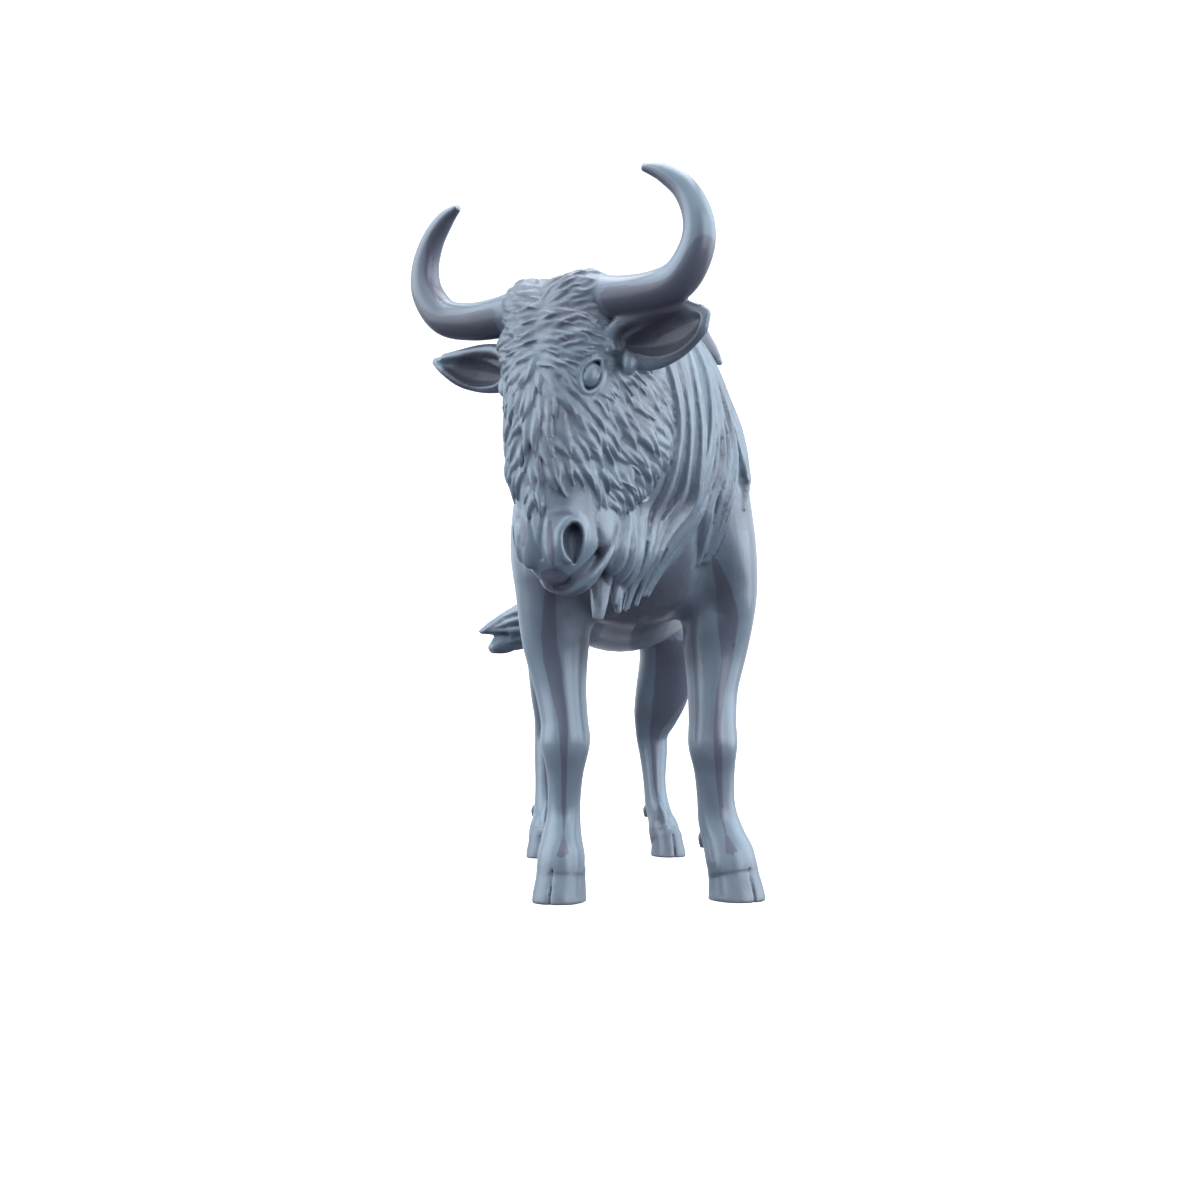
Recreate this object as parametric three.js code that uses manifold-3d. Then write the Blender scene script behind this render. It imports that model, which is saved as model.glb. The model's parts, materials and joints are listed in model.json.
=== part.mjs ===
// A standing wildebeest figurine, cast in one piece, with its head dropped and turned to its right.
// Millimetres, +Z up. The animal faces -Y, and its own left side is +X.
// Every form is a closed loft through a few stations, and all forms are united into one solid.
import * as THREE from "three";
import { mergeVertices } from "three/addons/utils/BufferGeometryUtils.js";
import Module from "manifold-3d";

const wasm = await Module();
wasm.setup();

// Driving dimensions
const HEAD_POLL = [-22.3, -39.1, 135]; // the point between the horns, inside the skull
const HEAD_DROP = 88.6; // degrees that the nose points below the horizon
const HEAD_TURN = -37.9; // degrees, towards the animal's right
const HEAD_TILT = 1.1; // degrees, left horn down
const EYE = [10.6, 3.8, 23.8]; // in the head's own frame
const EYE_HALF = [1.9, 2.5, 2.9];
const NOSTRIL = [6.3, 4.6, 57.4];
const NOSTRIL_HALF = [1.5, 3.2, 3.9];
const EAR_HOLLOW = 0.62; // the hollow's width as a share of the ear's
const CLEFT = 0.3; // between the two claws of a hoof
const STRANDS = 11; // long strands of hair down each side of the neck
const STRAND_HEIGHT = 0.55; // above and below the neck's mean surface
const STRAND_SWEEP = 0.16; // how far a strand runs forward on its way down, as a share of the neck
const MANE_COUNT = 9; // locks along the crest
const BEARD_COUNT = 5; // locks under each side of the throat
const FACE_ROWS = 4; // rows of locks down the face
const SKIN = 0x8295a8;

const ACROSS = new THREE.Vector3(1, 0, 0);
const OUT_OF_FACE = new THREE.Vector3(0, 1, 0);
const degrees = THREE.MathUtils.degToRad;
const mix = THREE.MathUtils.lerp;

// The head's own frame: x to the animal's left, y out of the forehead, z from the poll to the nose.
const HEAD_AXES = new THREE.Matrix4().makeBasis(
  new THREE.Vector3(1, 0, 0),
  new THREE.Vector3(0, 0, 1),
  new THREE.Vector3(0, -1, 0),
);
const HEAD_PLACE = new THREE.Matrix4()
  .makeRotationFromEuler(
    new THREE.Euler(degrees(HEAD_DROP), degrees(HEAD_TILT), degrees(HEAD_TURN), "ZYX"),
  )
  .multiply(HEAD_AXES)
  .setPosition(...HEAD_POLL);

const curveThrough = (points) =>
  new THREE.CatmullRomCurve3(
    points.map((p) => new THREE.Vector3(...p)),
    false,
    "catmullrom",
    0.5,
  );

// One closed form. Each station is [x, y, z, half width, rise, fall]: the section's centre, its reach to
// each side, and its reach either way square to that. `square` over 2 makes the section boxier.
class Form {
  constructor(stations, { side = ACROSS, square = 2, bumps = [] } = {}) {
    this.spine = curveThrough(stations.map((s) => s.slice(0, 3)));
    this.girth = curveThrough(stations.map((s) => s.slice(3, 6)));
    this.spans = stations.length - 1;
    this.side = side;
    this.square = square;
    this.bumps = bumps;
  }

  // The swelling of the muscles and bones, alike on both sides. Each bump is [t, angle, height, its spread
  // in t, its spread in degrees].
  relief(t, angle) {
    let height = 0;
    for (const [at, where, peak, length, breadth] of this.bumps)
      for (const centre of [where, 180 - where]) {
        const turn = ((angle - centre + 540) % 360) - 180;
        height += peak * Math.exp(-(((t - at) / length) ** 2) - (turn / breadth) ** 2);
      }
    return height;
  }

  // A point of the skin: `t` runs from 0 to 1 along the form, and `angle` from the side to the rise.
  point(t, angle, lift = 0) {
    const centre = this.spine.getPoint(t);
    const { x: width, y: rise, z: fall } = this.girth.getPoint(t);
    const along = this.spine.getTangent(t);
    const up = new THREE.Vector3().crossVectors(along, this.side).normalize();
    const out = new THREE.Vector3().crossVectors(up, along);
    const bulge = (c) => Math.sign(c) * Math.abs(c) ** (2 / this.square);
    const [c, s] = [Math.cos(degrees(angle)), Math.sin(degrees(angle))];
    const reach = new THREE.Vector3()
      .addScaledVector(out, bulge(c) * Math.max(width, 0.15))
      .addScaledVector(up, bulge(s) * Math.max(s > 0 ? rise : fall, 0.15));
    const height = lift + this.relief(t, angle);
    return centre.add(reach).addScaledVector(reach.clone().normalize(), height);
  }

  // The way out of the skin at a point of it.
  outward(t, angle) {
    return this.point(t, angle, 1).sub(this.point(t, angle)).normalize();
  }

  // The closed mesh. With a `ridge` every other ring is raised, and `sweep` carries the rings on along the
  // form on their way from its back to its belly, as strands of hair lie.
  geometry(sides, steps, { ridge = 0, sweep = 0 } = {}) {
    const points = [];
    for (let i = 0; i <= steps; i++)
      for (let j = 0; j < sides; j++) {
        const angle = (360 * j) / sides;
        const lean = sweep * Math.sin((Math.PI * i) / steps) * (0.5 - 0.5 * Math.sin(degrees(angle)));
        const lift = ridge * (i % 2 ? 1 : -1);
        points.push(this.point(i / steps + lean, angle, lift));
      }
    const ends = [0, 1].map((t) => points.push(this.spine.getPoint(t)) - 1);
    const faces = [];
    for (let i = 0; i < steps; i++)
      for (let j = 0; j < sides; j++) {
        const [a, b] = [i * sides + j, i * sides + ((j + 1) % sides)];
        faces.push(a, b, b + sides, a, b + sides, a + sides);
      }
    for (let j = 0; j < sides; j++) {
      const next = (j + 1) % sides;
      faces.push(ends[0], next, j, ends[1], steps * sides + j, steps * sides + next);
    }
    return new THREE.BufferGeometry().setFromPoints(points).setIndex(faces);
  }
}

// A ball stretched to three half sizes, for eyes, muscles and hollows.
function ball(centre, half, turn = [0, 0, 0]) {
  const geometry = new THREE.SphereGeometry(1, 10, 6);
  geometry.scale(...half);
  geometry.rotateX(degrees(turn[0]));
  geometry.rotateY(degrees(turn[1]));
  geometry.rotateZ(degrees(turn[2]));
  return geometry.translate(...centre);
}

// A lock of hair through a few points, widest past its root and ending in a point.
function lock(points, outward, width, thickness) {
  const along = points.at(-1).clone().sub(points[0]);
  const side = new THREE.Vector3().crossVectors(outward, along).normalize();
  const stations = points.map((p, i) => {
    const t = i / (points.length - 1);
    const swell = Math.sin(Math.PI * mix(0.28, 1, t) ** 0.8);
    return [...p.toArray(), width * swell, thickness * swell, thickness * swell];
  });
  return new Form(stations, { side }).geometry(4, points.length - 1);
}

// A lock that lies on a form's skin, from one [t, angle] to another, its middle and its tip lifted off.
function lockOn(form, from, to, { width, thickness, lift, points = 4 }) {
  const path = [];
  for (let i = 0; i < points; i++) {
    const s = i / (points - 1);
    const t = mix(from[0], to[0], s);
    path.push(form.point(t, mix(from[1], to[1], s), lift * s - thickness * 0.3));
  }
  const outward = form.outward((from[0] + to[0]) / 2, (from[1] + to[1]) / 2);
  return lock(path, outward, width, thickness);
}

function solidOf(geometry) {
  geometry.deleteAttribute("normal");
  geometry.deleteAttribute("uv");
  const merged = mergeVertices(geometry, 1e-4);
  return new wasm.Manifold(
    new wasm.Mesh({
      numProp: 3,
      vertProperties: merged.attributes.position.array,
      triVerts: new Uint32Array(merged.index.array),
    }),
  );
}

const mirrored = (stations) => stations.map(([x, ...rest]) => [-x, ...rest]);
const scatter = (k) => 0.5 + 0.5 * Math.sin(k * 2.4); // values from 0 to 1 that vary from lock to lock

// Rump, barrel and chest, from back to front.
const trunk = new Form([
  [1.5, 138.5, 98, 4, 7, 9],
  [1.5, 134, 96, 13, 13.5, 19],
  [1.5, 123, 94, 20.5, 22, 26],
  [1, 106, 93, 24, 27, 25.5],
  [0, 84, 93, 26, 29.5, 30],
  [-0.5, 60, 93, 27.5, 34, 32.3],
  [-1.5, 38, 96, 27, 38, 33.5],
  [-2, 20, 98, 26, 39.5, 34],
  [-2.2, 6, 99, 24.5, 38, 34],
  [-2.2, -5, 100, 21, 34, 32],
  [-2.4, -13, 100, 15, 26, 26],
  [-2.4, -17.5, 100, 6, 12, 12],
]);

// The neck, from the withers to behind the jaw.
const neck = new Form([
  [-2, 24, 106, 14, 30, 22],
  [-2.2, 10, 108, 19.6, 30.5, 27],
  [-4, -4, 110, 20.8, 29.5, 30],
  [-8, -16, 112, 18.8, 26.5, 30],
  [-13.2, -27, 113.5, 15, 22, 27],
  [-18, -36, 115, 11.5, 17, 21],
  [-20, -41, 117, 8, 11, 14],
]);

const MANE_TIPS = [
  [
    [3, 3, 134, 4, 3, 3],
    [9.5, 3.4, 133.6, 4.6, 3, 3],
    [14.4, 4.4, 130.8, 3.2, 2.2, 2.2],
    [18.6, 5, 127.6, 0.5, 0.5, 0.5],
  ],
  [
    [3, 1, 136, 3, 2.4, 2.4],
    [9, 1.6, 136.6, 3, 2.2, 2.2],
    [14.6, 3, 134.4, 0.5, 0.5, 0.5],
  ],
];

// The fringe of hair that hangs from the throat, from the chest to the jaw.
const dewlap = new Form([
  [-3.5, -12, 88, 9, 12, 16],
  [-7, -20, 86, 7.5, 14, 15.5],
  [-10.5, -27, 86, 6, 14, 15],
  [-14, -33, 88, 4.8, 14, 14.5],
  [-17, -38, 92, 3, 10, 10],
]);

// Shoulder, forearm, knee, cannon and pastern of a front leg. Rise is forward and fall is back.
const FRONT_LEFT = [
  [8, 14, 124, 5, 9, 9],
  [12, 11, 111, 9, 14, 14],
  [14.6, 8, 97, 9.8, 16.5, 17],
  [16.8, 7, 84, 9.7, 15, 17.5],
  [18.4, 8, 73, 8.7, 11.5, 14],
  [17.5, 9.5, 61, 7.9, 8.4, 9.5],
  [16.6, 9.3, 50, 6.1, 7, 7],
  [16.3, 8.4, 42, 5.7, 6.4, 5.6],
  [16.3, 8, 36.5, 5.9, 6.2, 5.4],
  [16.8, 9, 30.5, 4.9, 4.8, 4.8],
  [17.2, 9.8, 24, 4.5, 4.2, 4.6],
  [17.8, 10.4, 19, 4.8, 4.6, 5.4],
  [19, 9.8, 14.5, 5.2, 5.4, 5.6],
  [20.3, 8.4, 10, 5.9, 6, 5.8],
  [20.8, 7.8, 6.5, 5.6, 6, 5.6],
];
const FRONT_RIGHT = [
  [-12, 14, 124, 5, 9, 9],
  [-16.5, 11, 111, 9.5, 14, 14],
  [-20.2, 8, 97, 10.2, 16.5, 17],
  [-21.6, 7, 84, 10.4, 15, 17.5],
  [-21.2, 8, 73, 9.6, 11.5, 14],
  [-21, 9.5, 61, 8.1, 8.4, 9.5],
  [-19.9, 9.3, 50, 6.2, 7, 7],
  [-19, 8.4, 42, 5.6, 6.4, 5.6],
  [-18.8, 8, 37, 5.9, 6.2, 5.4],
  [-18.8, 9, 30, 4.4, 4.8, 4.8],
  [-18.9, 9.8, 24, 3.9, 4.2, 4.6],
  [-19, 10.4, 19.5, 4, 4.6, 5.4],
  [-19.4, 9.8, 15, 4.7, 5.4, 5.6],
  [-19.7, 8.4, 10.5, 5.6, 6, 5.8],
  [-19.8, 7.8, 6.5, 5.4, 6, 5.6],
];

// Haunch, thigh, hock, cannon and pastern of a hind leg.
const HIND_LEFT = [
  [9, 118, 105, 5, 8, 7],
  [15, 117, 98, 10, 16, 13],
  [17.5, 113, 86, 11, 19, 17],
  [18.8, 109, 73, 9.8, 16, 16],
  [19.4, 112, 62, 8.8, 11, 12],
  [18.4, 118, 51, 8.4, 7.8, 9],
  [17.2, 124.5, 44, 7.2, 6.2, 6.6],
  [16.3, 128, 38, 5.3, 5.4, 5.6],
  [16.7, 128, 31, 4.4, 4.6, 4.6],
  [16.9, 127, 23, 3.6, 4, 4.2],
  [17.4, 126, 16.5, 3.7, 4.4, 5.4],
  [18.3, 123.5, 11.5, 4, 4.8, 5.2],
  [19, 120.5, 8, 4.8, 5.2, 5.4],
  [19.3, 119, 5, 4.6, 5, 5],
];
const HIND_RIGHT = [
  [-6, 118, 105, 5, 8, 7],
  [-12, 117, 98, 10, 16, 13],
  [-14.5, 113, 86, 10.6, 19, 17],
  [-16, 109, 73, 9.2, 16, 16],
  [-16.2, 112, 62, 8.2, 11, 12],
  [-15.8, 118, 51, 7.2, 7.8, 9],
  [-15.4, 124.5, 44, 6.3, 6.2, 6.6],
  [-16, 128, 38, 5.3, 5.4, 5.6],
  [-17, 128, 31, 4.3, 4.6, 4.6],
  [-17.4, 127, 23, 3.7, 4, 4.2],
  [-17.6, 126, 16.5, 3.7, 4.4, 5.4],
  [-18, 123.5, 11.5, 4, 4.8, 5.2],
  [-18.4, 120.5, 8, 4.8, 5.2, 5.4],
  [-18.6, 119, 5, 4.6, 5, 5],
];

// The tail curls down to the animal's right and ends in a tuft with two tips.
const tail = new Form([
  [1, 127, 103, 3.4, 3.4, 3.4],
  [0.5, 138.5, 105.5, 3.4, 3.4, 3.4],
  [-2, 144.5, 100, 2.6, 2.6, 2.6],
  [-6, 147.5, 92, 2.6, 2.6, 2.6],
  [-12, 147, 84, 4.2, 4.2, 4.2],
  [-19, 143.5, 77, 6.2, 6.4, 6.4],
  [-26, 140, 72.5, 6, 6.4, 6.4],
  [-31, 138, 70.4, 4.6, 5.4, 5],
]);
const TUFT_TIPS = [
  [
    [-28, 139, 73.4, 4.6, 3.6, 3.6],
    [-33.5, 137, 72.2, 3.2, 2.6, 2.6],
    [-38.8, 135, 70.4, 0.6, 0.5, 0.5],
  ],
  [
    [-27, 140, 70, 4.6, 4, 4],
    [-31.5, 138, 67, 3.8, 3.4, 3.4],
    [-35.4, 136, 64.8, 1.4, 1.4, 1.4],
  ],
];

// Skull, face and muzzle, in the head's own frame, from behind the poll to the lips.
const skull = new Form(
  [
    [0, -5.5, 2.4, 7, 8, 8],
    [0, -5.5, 4.2, 11, 12.4, 12],
    [0, -6, 9, 13.2, 14.6, 15],
    [0, -6.4, 17, 13.8, 15.4, 17],
    [0, -6.2, 25, 13.4, 15.2, 18],
    [0, -5.2, 33, 12.2, 14.2, 17],
    [0, -4, 41, 11, 12.8, 14.6],
    [0, -3, 48, 10.2, 11.2, 11.4],
    [0, -2, 53, 9.2, 10.2, 7.6],
    [0, -1.6, 57.5, 8.8, 9, 5],
    [0, -1.2, 61.4, 6.8, 7.4, 4.2],
    [0, -0.8, 64.6, 3.4, 4.6, 2.6],
  ],
  {
    square: 2.6,
    bumps: [
      [0.31, 47, 1.1, 0.06, 13], // brow over the eye
      [0.44, -38, 3, 0.15, 30], // cheek
      [0.83, 44, 0.9, 0.06, 22], // wing of a nostril
    ],
  },
);
const lowerJaw = new Form(
  [
    [0, -14, 33, 6.6, 5, 5],
    [0, -12, 41, 7, 4.6, 5],
    [0, -9.8, 50, 6.8, 4, 4.4],
    [0, -7.8, 58, 6.4, 3.4, 3.6],
    [0, -6.2, 63.6, 5.6, 2.8, 2.9],
    [0, -5.4, 66.6, 3, 1.6, 1.7],
  ],
  { square: 2.4 },
);

const MOUTH = [
  // the line between the lips, from one corner to the other
  [-8.6, -8.2, 53.4, 0.3, 0.3, 0.3],
  [-8, -6.6, 58, 0.8, 0.6, 0.8],
  [-5.6, -4.8, 63.4, 1, 0.7, 1],
  [0, -3.6, 65.6, 1, 0.7, 1],
  [5.6, -4.8, 63.4, 1, 0.7, 1],
  [8, -6.6, 58, 0.8, 0.6, 0.8],
  [8.6, -8.2, 53.4, 0.3, 0.3, 0.3],
];
const HORN = [
  [7, 1, 6.2, 4.8, 4.6, 4.8],
  [15, 1, 7.4, 4.4, 4.3, 4.4],
  [23, 1.3, 7.4, 4.1, 4, 4.1],
  [29.6, 2.2, 5.8, 3.9, 3.9, 3.9],
  [33.8, 3.2, 0.6, 3.5, 3.5, 3.5],
  [34.3, 4, -5, 3, 3, 3],
  [31.8, 4.8, -10.6, 2.5, 2.5, 2.5],
  [27.6, 5.9, -14.4, 1.9, 1.9, 1.9],
  [23.2, 7, -16.2, 0.8, 0.8, 0.8],
];
const EAR = [
  [10, -3, 15.6, 2.6, 3, 3],
  [15, -2.6, 15.9, 2.8, 4.2, 4.2],
  [20.5, -2.1, 15.6, 2.6, 5, 5],
  [26.5, -1.5, 14.6, 2, 4.6, 4.6],
  [31.4, -0.9, 13.5, 1.3, 2.6, 2.8],
  [34.3, -0.5, 12.7, 0.6, 0.7, 0.7],
];

function legs() {
  return [FRONT_LEFT, FRONT_RIGHT, HIND_LEFT, HIND_RIGHT].map((stations) =>
    new Form(stations).geometry(10, stations.length - 1),
  );
}

// A cloven hoof of two claws, `toe` being its foremost point on the ground.
function hoof(x, toe, half, length, height) {
  return [-1, 1].map((s) => {
    const reach = half / 2;
    const middle = toe + length * 0.48;
    const form = new Form(
      [
        [x + s * (reach - 0.4), middle + 1.4, height, reach - 0.3, length * 0.3, length * 0.36],
        [x + s * (reach + CLEFT / 2), middle + 0.4, height * 0.4, reach, length * 0.42, length * 0.46],
        [x + s * (reach + CLEFT / 2), middle, -1, reach, length * 0.48, length * 0.5],
      ],
      { square: 2.5 },
    );
    return form.geometry(8, 2);
  });
}

const hooves = () => [
  ...hoof(21.9, 0, 6.2, 14.5, 8.6),
  ...hoof(-20.2, 0, 6.2, 14.5, 8.6),
  ...hoof(19.9, 111, 5.1, 13, 7),
  ...hoof(-19, 111, 5.1, 13, 7),
];

// Two small dewclaws behind a fetlock.
function dewclaws(x, y, z, spread, size) {
  return [-1, 1].map((s) =>
    new Form([
      [x + s * spread * 0.7, y - size, z + size * 0.8, size * 0.6, size * 0.6, size * 0.6],
      [x + s * spread, y, z, size * 0.8, size * 0.8, size * 0.8],
      [x + s * spread * 1.1, y + size * 0.4, z - size * 1.4, size * 0.4, size * 0.4, size * 0.4],
    ]).geometry(5, 2),
  );
}

const allDewclaws = () => [
  ...dewclaws(18.6, 14.8, 14.2, 3.6, 2.2),
  ...dewclaws(-19.4, 14.8, 14.2, 3.4, 2.2),
  ...dewclaws(17.9, 130, 13.6, 3.2, 2),
  ...dewclaws(-17.9, 130, 13.6, 3.2, 2),
];

// Mane locks along the crest, falling to the animal's left, and two tips that stand off behind the ear.
function mane() {
  const locks = [];
  for (let k = 0; k < MANE_COUNT; k++) {
    const t = mix(0.12, 0.94, k / (MANE_COUNT - 1));
    const reach = 38 + 16 * scatter(k);
    const lift = 1.4 + scatter(k + 3);
    locks.push(lockOn(neck, [t, 98], [t - 0.03, 98 - reach], { width: 3.2, thickness: 1.8, lift }));
  }
  for (const stations of MANE_TIPS) locks.push(new Form(stations).geometry(5, 3));
  return locks;
}

// Pointed locks hanging under the throat, the longest in front.
function beard() {
  const locks = [];
  for (let k = 0; k < BEARD_COUNT; k++) {
    const share = k / (BEARD_COUNT - 1);
    for (const side of [1, -1]) {
      const root = dewlap.point(mix(0.18, 0.8, share), -90 + side * 48);
      const drop = mix(9, 15, share) + 3 * scatter(k * 2 + side);
      const path = [0, 0.5, 1].map((s) =>
        root.clone().add(new THREE.Vector3(-side * 1.6 * s, -1.5 * s * s, -drop * s)),
      );
      locks.push(lock(path, new THREE.Vector3(side, 0, 0), 2.2, 1.6));
    }
  }
  return locks;
}

// Leaf-shaped locks on the face. They part at its middle, run sideways on the brow and down below it.
function faceLocks() {
  const locks = [];
  for (let row = 0; row < FACE_ROWS; row++) {
    const t = 0.2 + row * 0.12;
    const brow = Math.max(0, 1 - row / 2);
    for (let k = 0; k < 3; k++)
      for (const side of [1, -1]) {
        const away = 12 + (k + 0.5 * (row % 2)) * 30;
        const from = [t, 90 - side * away];
        const run = [mix(0.11, 0.03, brow), side * mix(9, 30, brow)];
        const to = [t + run[0], 90 - side * away - run[1]];
        locks.push(lockOn(skull, from, to, { width: 2.4, thickness: 1, lift: 0.6, points: 3 }));
      }
  }
  return locks;
}

// The upper and lower lid of an eye, one lock-shaped fold each.
function eyelids() {
  const lids = [];
  for (const side of [1, -1])
    for (const fold of [1, -1]) {
      const path = [-1, 0, 1].map((s) => {
        const arch = fold * EYE_HALF[1] * (1 - s * s);
        return new THREE.Vector3(
          side * (EYE[0] + 1.2 - 0.5 * s * s),
          EYE[1] + arch * 0.9,
          EYE[2] + s * EYE_HALF[2] * 1.2,
        );
      });
      lids.push(lock(path, new THREE.Vector3(side, 0, 0), 0.8, 0.8));
    }
  return lids;
}

function headSolid() {
  const ears = [EAR, mirrored(EAR)].map((stations) =>
    new Form(stations, { side: OUT_OF_FACE }).geometry(8, 8),
  );
  const horns = [HORN, mirrored(HORN)].map((stations) =>
    new Form(stations, { side: OUT_OF_FACE }).geometry(8, 14),
  );
  const earHollow = EAR.slice(1, 5).map(([x, y, z, width, rise, fall]) => [
    x + 1,
    y + width * 0.95,
    z,
    width * 0.7,
    rise * EAR_HOLLOW,
    fall * EAR_HOLLOW,
  ]);
  const hollows = [earHollow, mirrored(earHollow)].map((stations) =>
    new Form(stations, { side: OUT_OF_FACE }).geometry(8, 3),
  );
  const bosses = [1, -1].map((s) => ball([s * 7.6, 0.6, 6.4], [5.6, 6, 5.2]));
  const mouth = new Form(MOUTH, { side: OUT_OF_FACE }).geometry(5, 8);
  const nostrils = [1, -1].map((s) =>
    ball([s * NOSTRIL[0], NOSTRIL[1], NOSTRIL[2]], NOSTRIL_HALF, [-34, 0, s * 14]),
  );
  const eyes = [1, -1].map((s) => ball([s * EYE[0], EYE[1], EYE[2]], EYE_HALF));
  const solid = wasm.Manifold.union(
    [
      skull.geometry(18, 20),
      lowerJaw.geometry(8, 5),
      ...bosses,
      ...horns,
      ...ears,
      ...eyes,
      ...eyelids(),
      ...faceLocks(),
    ].map((g) => solidOf(g)),
  );
  return wasm.Manifold.difference([solid, ...[...hollows, ...nostrils, mouth].map((g) => solidOf(g))]);
}

function figureSolid() {
  const forms = [
    trunk.geometry(19, 14),
    neck.geometry(18, 2 * STRANDS, { ridge: STRAND_HEIGHT, sweep: STRAND_SWEEP }),
    dewlap.geometry(10, 10, { ridge: STRAND_HEIGHT }),
    tail.geometry(7, 8),
    ...TUFT_TIPS.map((stations) => new Form(stations).geometry(6, 3)),
    ...legs(),
    ...hooves(),
    ...allDewclaws(),
    ...mane(),
    ...beard(),
  ].map((g) => solidOf(g));
  const head = headSolid().transform(HEAD_PLACE.toArray());
  const underground = solidOf(new THREE.BoxGeometry(400, 400, 20).translate(0, 60, -10));
  return wasm.Manifold.union([...forms, head]).subtract(underground);
}

// The mesh of a solid, moved so that the middle of its box stands at the origin.
function meshOf(solid) {
  const { vertProperties, triVerts } = solid.getMesh();
  const geometry = new THREE.BufferGeometry();
  geometry.setAttribute("position", new THREE.Float32BufferAttribute(vertProperties, 3));
  geometry.setIndex([...triVerts]);
  geometry.computeBoundingBox();
  const middle = geometry.boundingBox.getCenter(new THREE.Vector3());
  return geometry.translate(-middle.x, -middle.y, -geometry.boundingBox.min.z);
}

const figure = new THREE.Mesh(
  meshOf(figureSolid()),
  new THREE.MeshStandardMaterial({ color: SKIN, roughness: 0.42, metalness: 0 }),
);
figure.name = "wildebeest";

const model = new THREE.Group();
model.add(figure);
export default model;
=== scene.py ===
# %% [markdown]
# # A cast wildebeest
# The real object is a solid resin casting of a blue wildebeest, 153 mm high to its horn tips. It stands on
# its own hooves, with its head dropped and turned to its right. A sculptor builds such a figure from large
# soft masses, blends them, cuts in the details and lays the hair on last. This lesson works in that order.
# The masses are lofts through a few stations. They are blended as distance fields, because a blend between
# two distance fields is as soft as clay pressed together by a thumb.

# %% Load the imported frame
import json
import math

import bmesh
import bpy
import numpy as np
import openvdb
from mathutils import Euler, Matrix, Vector
from mathutils.bvhtree import BVHTree
from mathutils.kdtree import KDTree

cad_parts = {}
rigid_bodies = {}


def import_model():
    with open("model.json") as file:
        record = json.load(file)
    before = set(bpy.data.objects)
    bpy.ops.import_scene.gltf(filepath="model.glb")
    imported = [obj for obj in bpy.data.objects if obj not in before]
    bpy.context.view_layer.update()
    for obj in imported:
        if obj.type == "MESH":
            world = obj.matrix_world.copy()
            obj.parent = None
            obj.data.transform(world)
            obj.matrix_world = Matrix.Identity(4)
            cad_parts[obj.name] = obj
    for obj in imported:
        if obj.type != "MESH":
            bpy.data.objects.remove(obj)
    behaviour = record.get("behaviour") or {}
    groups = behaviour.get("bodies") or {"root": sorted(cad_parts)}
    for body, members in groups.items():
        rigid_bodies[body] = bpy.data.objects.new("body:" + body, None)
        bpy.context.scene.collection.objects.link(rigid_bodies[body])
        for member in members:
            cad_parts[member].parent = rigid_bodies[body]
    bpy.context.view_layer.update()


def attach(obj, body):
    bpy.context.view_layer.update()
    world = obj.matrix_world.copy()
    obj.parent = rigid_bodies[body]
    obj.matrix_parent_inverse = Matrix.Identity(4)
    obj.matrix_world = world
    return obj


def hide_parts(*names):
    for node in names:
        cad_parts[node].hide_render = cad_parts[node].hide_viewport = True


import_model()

# %% [markdown]
# ## Where things are
# All sizes are in millimetres in the animal's own ground frame: its front toes stand at y = 0, it faces -y,
# and its own left is +x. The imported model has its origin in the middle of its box, so one shift takes a
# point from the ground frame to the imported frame. The head has a frame of its own at the poll, the point
# between the horns: x to the animal's left, y out of the forehead, z down the face to the nose.

# %% Frames and driving dimensions
METRE = 0.001
GROUND_TO_FRAME = np.array([13.148, -42.131, 0.0])
HEAD_POLL = (-22.3, -39.1, 135.0)
HEAD_DROP = 88.6  # degrees that the nose points below the horizon
HEAD_TURN = -37.9  # degrees, towards the animal's right
HEAD_TILT = 1.1  # degrees, left horn down
ACROSS = (1.0, 0.0, 0.0)
OUT_OF_FACE = (0.0, 1.0, 0.0)

HEAD_AXES = Matrix(((1, 0, 0), (0, 0, -1), (0, 1, 0)))
HEAD_TURNED = (
    Matrix.Rotation(math.radians(HEAD_TURN), 3, "Z")
    @ Matrix.Rotation(math.radians(HEAD_TILT), 3, "Y")
    @ Matrix.Rotation(math.radians(HEAD_DROP), 3, "X")
    @ HEAD_AXES
)
HEAD_ROTATION = np.array(HEAD_TURNED)


def head_to_ground(points):
    """Points of the head's own frame, in the ground frame."""
    return np.asarray(points) @ HEAD_ROTATION.T + np.array(HEAD_POLL)


print("tip of the nose, in the ground frame:", head_to_ground([[0, 0, 65]]).round(1))

# %% [markdown]
# ## Lofted masses
# A trunk, a leg or a horn is a tube whose girth changes along a curve. It could be pulled out of a box with
# a subdivision surface, but a dozen stations say the same in numbers that can be measured on the real
# figure: where the section's middle is, how far it reaches to each side, and how far it rises and falls. A
# Catmull-Rom curve runs through the stations. The section is a superellipse, whose corners fill out as
# `square` grows. A brow is a bump on the skin.


# %% Curves
def curve_at(points, t):
    """The Catmull-Rom curve through the points, at each t from 0 to 1."""
    points = np.asarray(points, float)
    padded = np.vstack([2 * points[0] - points[1], points, 2 * points[-1] - points[-2]])
    place = np.clip(t, 0, 1) * (len(points) - 1)
    span = np.minimum(place.astype(int), len(points) - 2)
    w = (place - span)[..., None]
    p0, p1, p2, p3 = (padded[span + k] for k in range(4))
    return p1 + 0.5 * w * (p2 - p0 + w * (2 * p0 - 5 * p1 + 4 * p2 - p3 + w * (3 * (p1 - p2) + p3 - p0)))


def unit(vectors):
    """The vectors at length 1."""
    return vectors / np.maximum(np.linalg.norm(vectors, axis=-1, keepdims=True), 1e-9)


def smooth_step(low, high, value):
    """0 below `low`, 1 above `high`, and a smooth rise between them."""
    share = np.clip((value - low) / (high - low), 0, 1)
    return share * share * (3 - 2 * share)


print("halfway along a bent curve:", curve_at([(0, 0, 0), (2, 4, 0), (6, 4, 0)], np.array(0.5)))

# %% A loft
THINNEST = 0.15  # half size of the thinnest section


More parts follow.
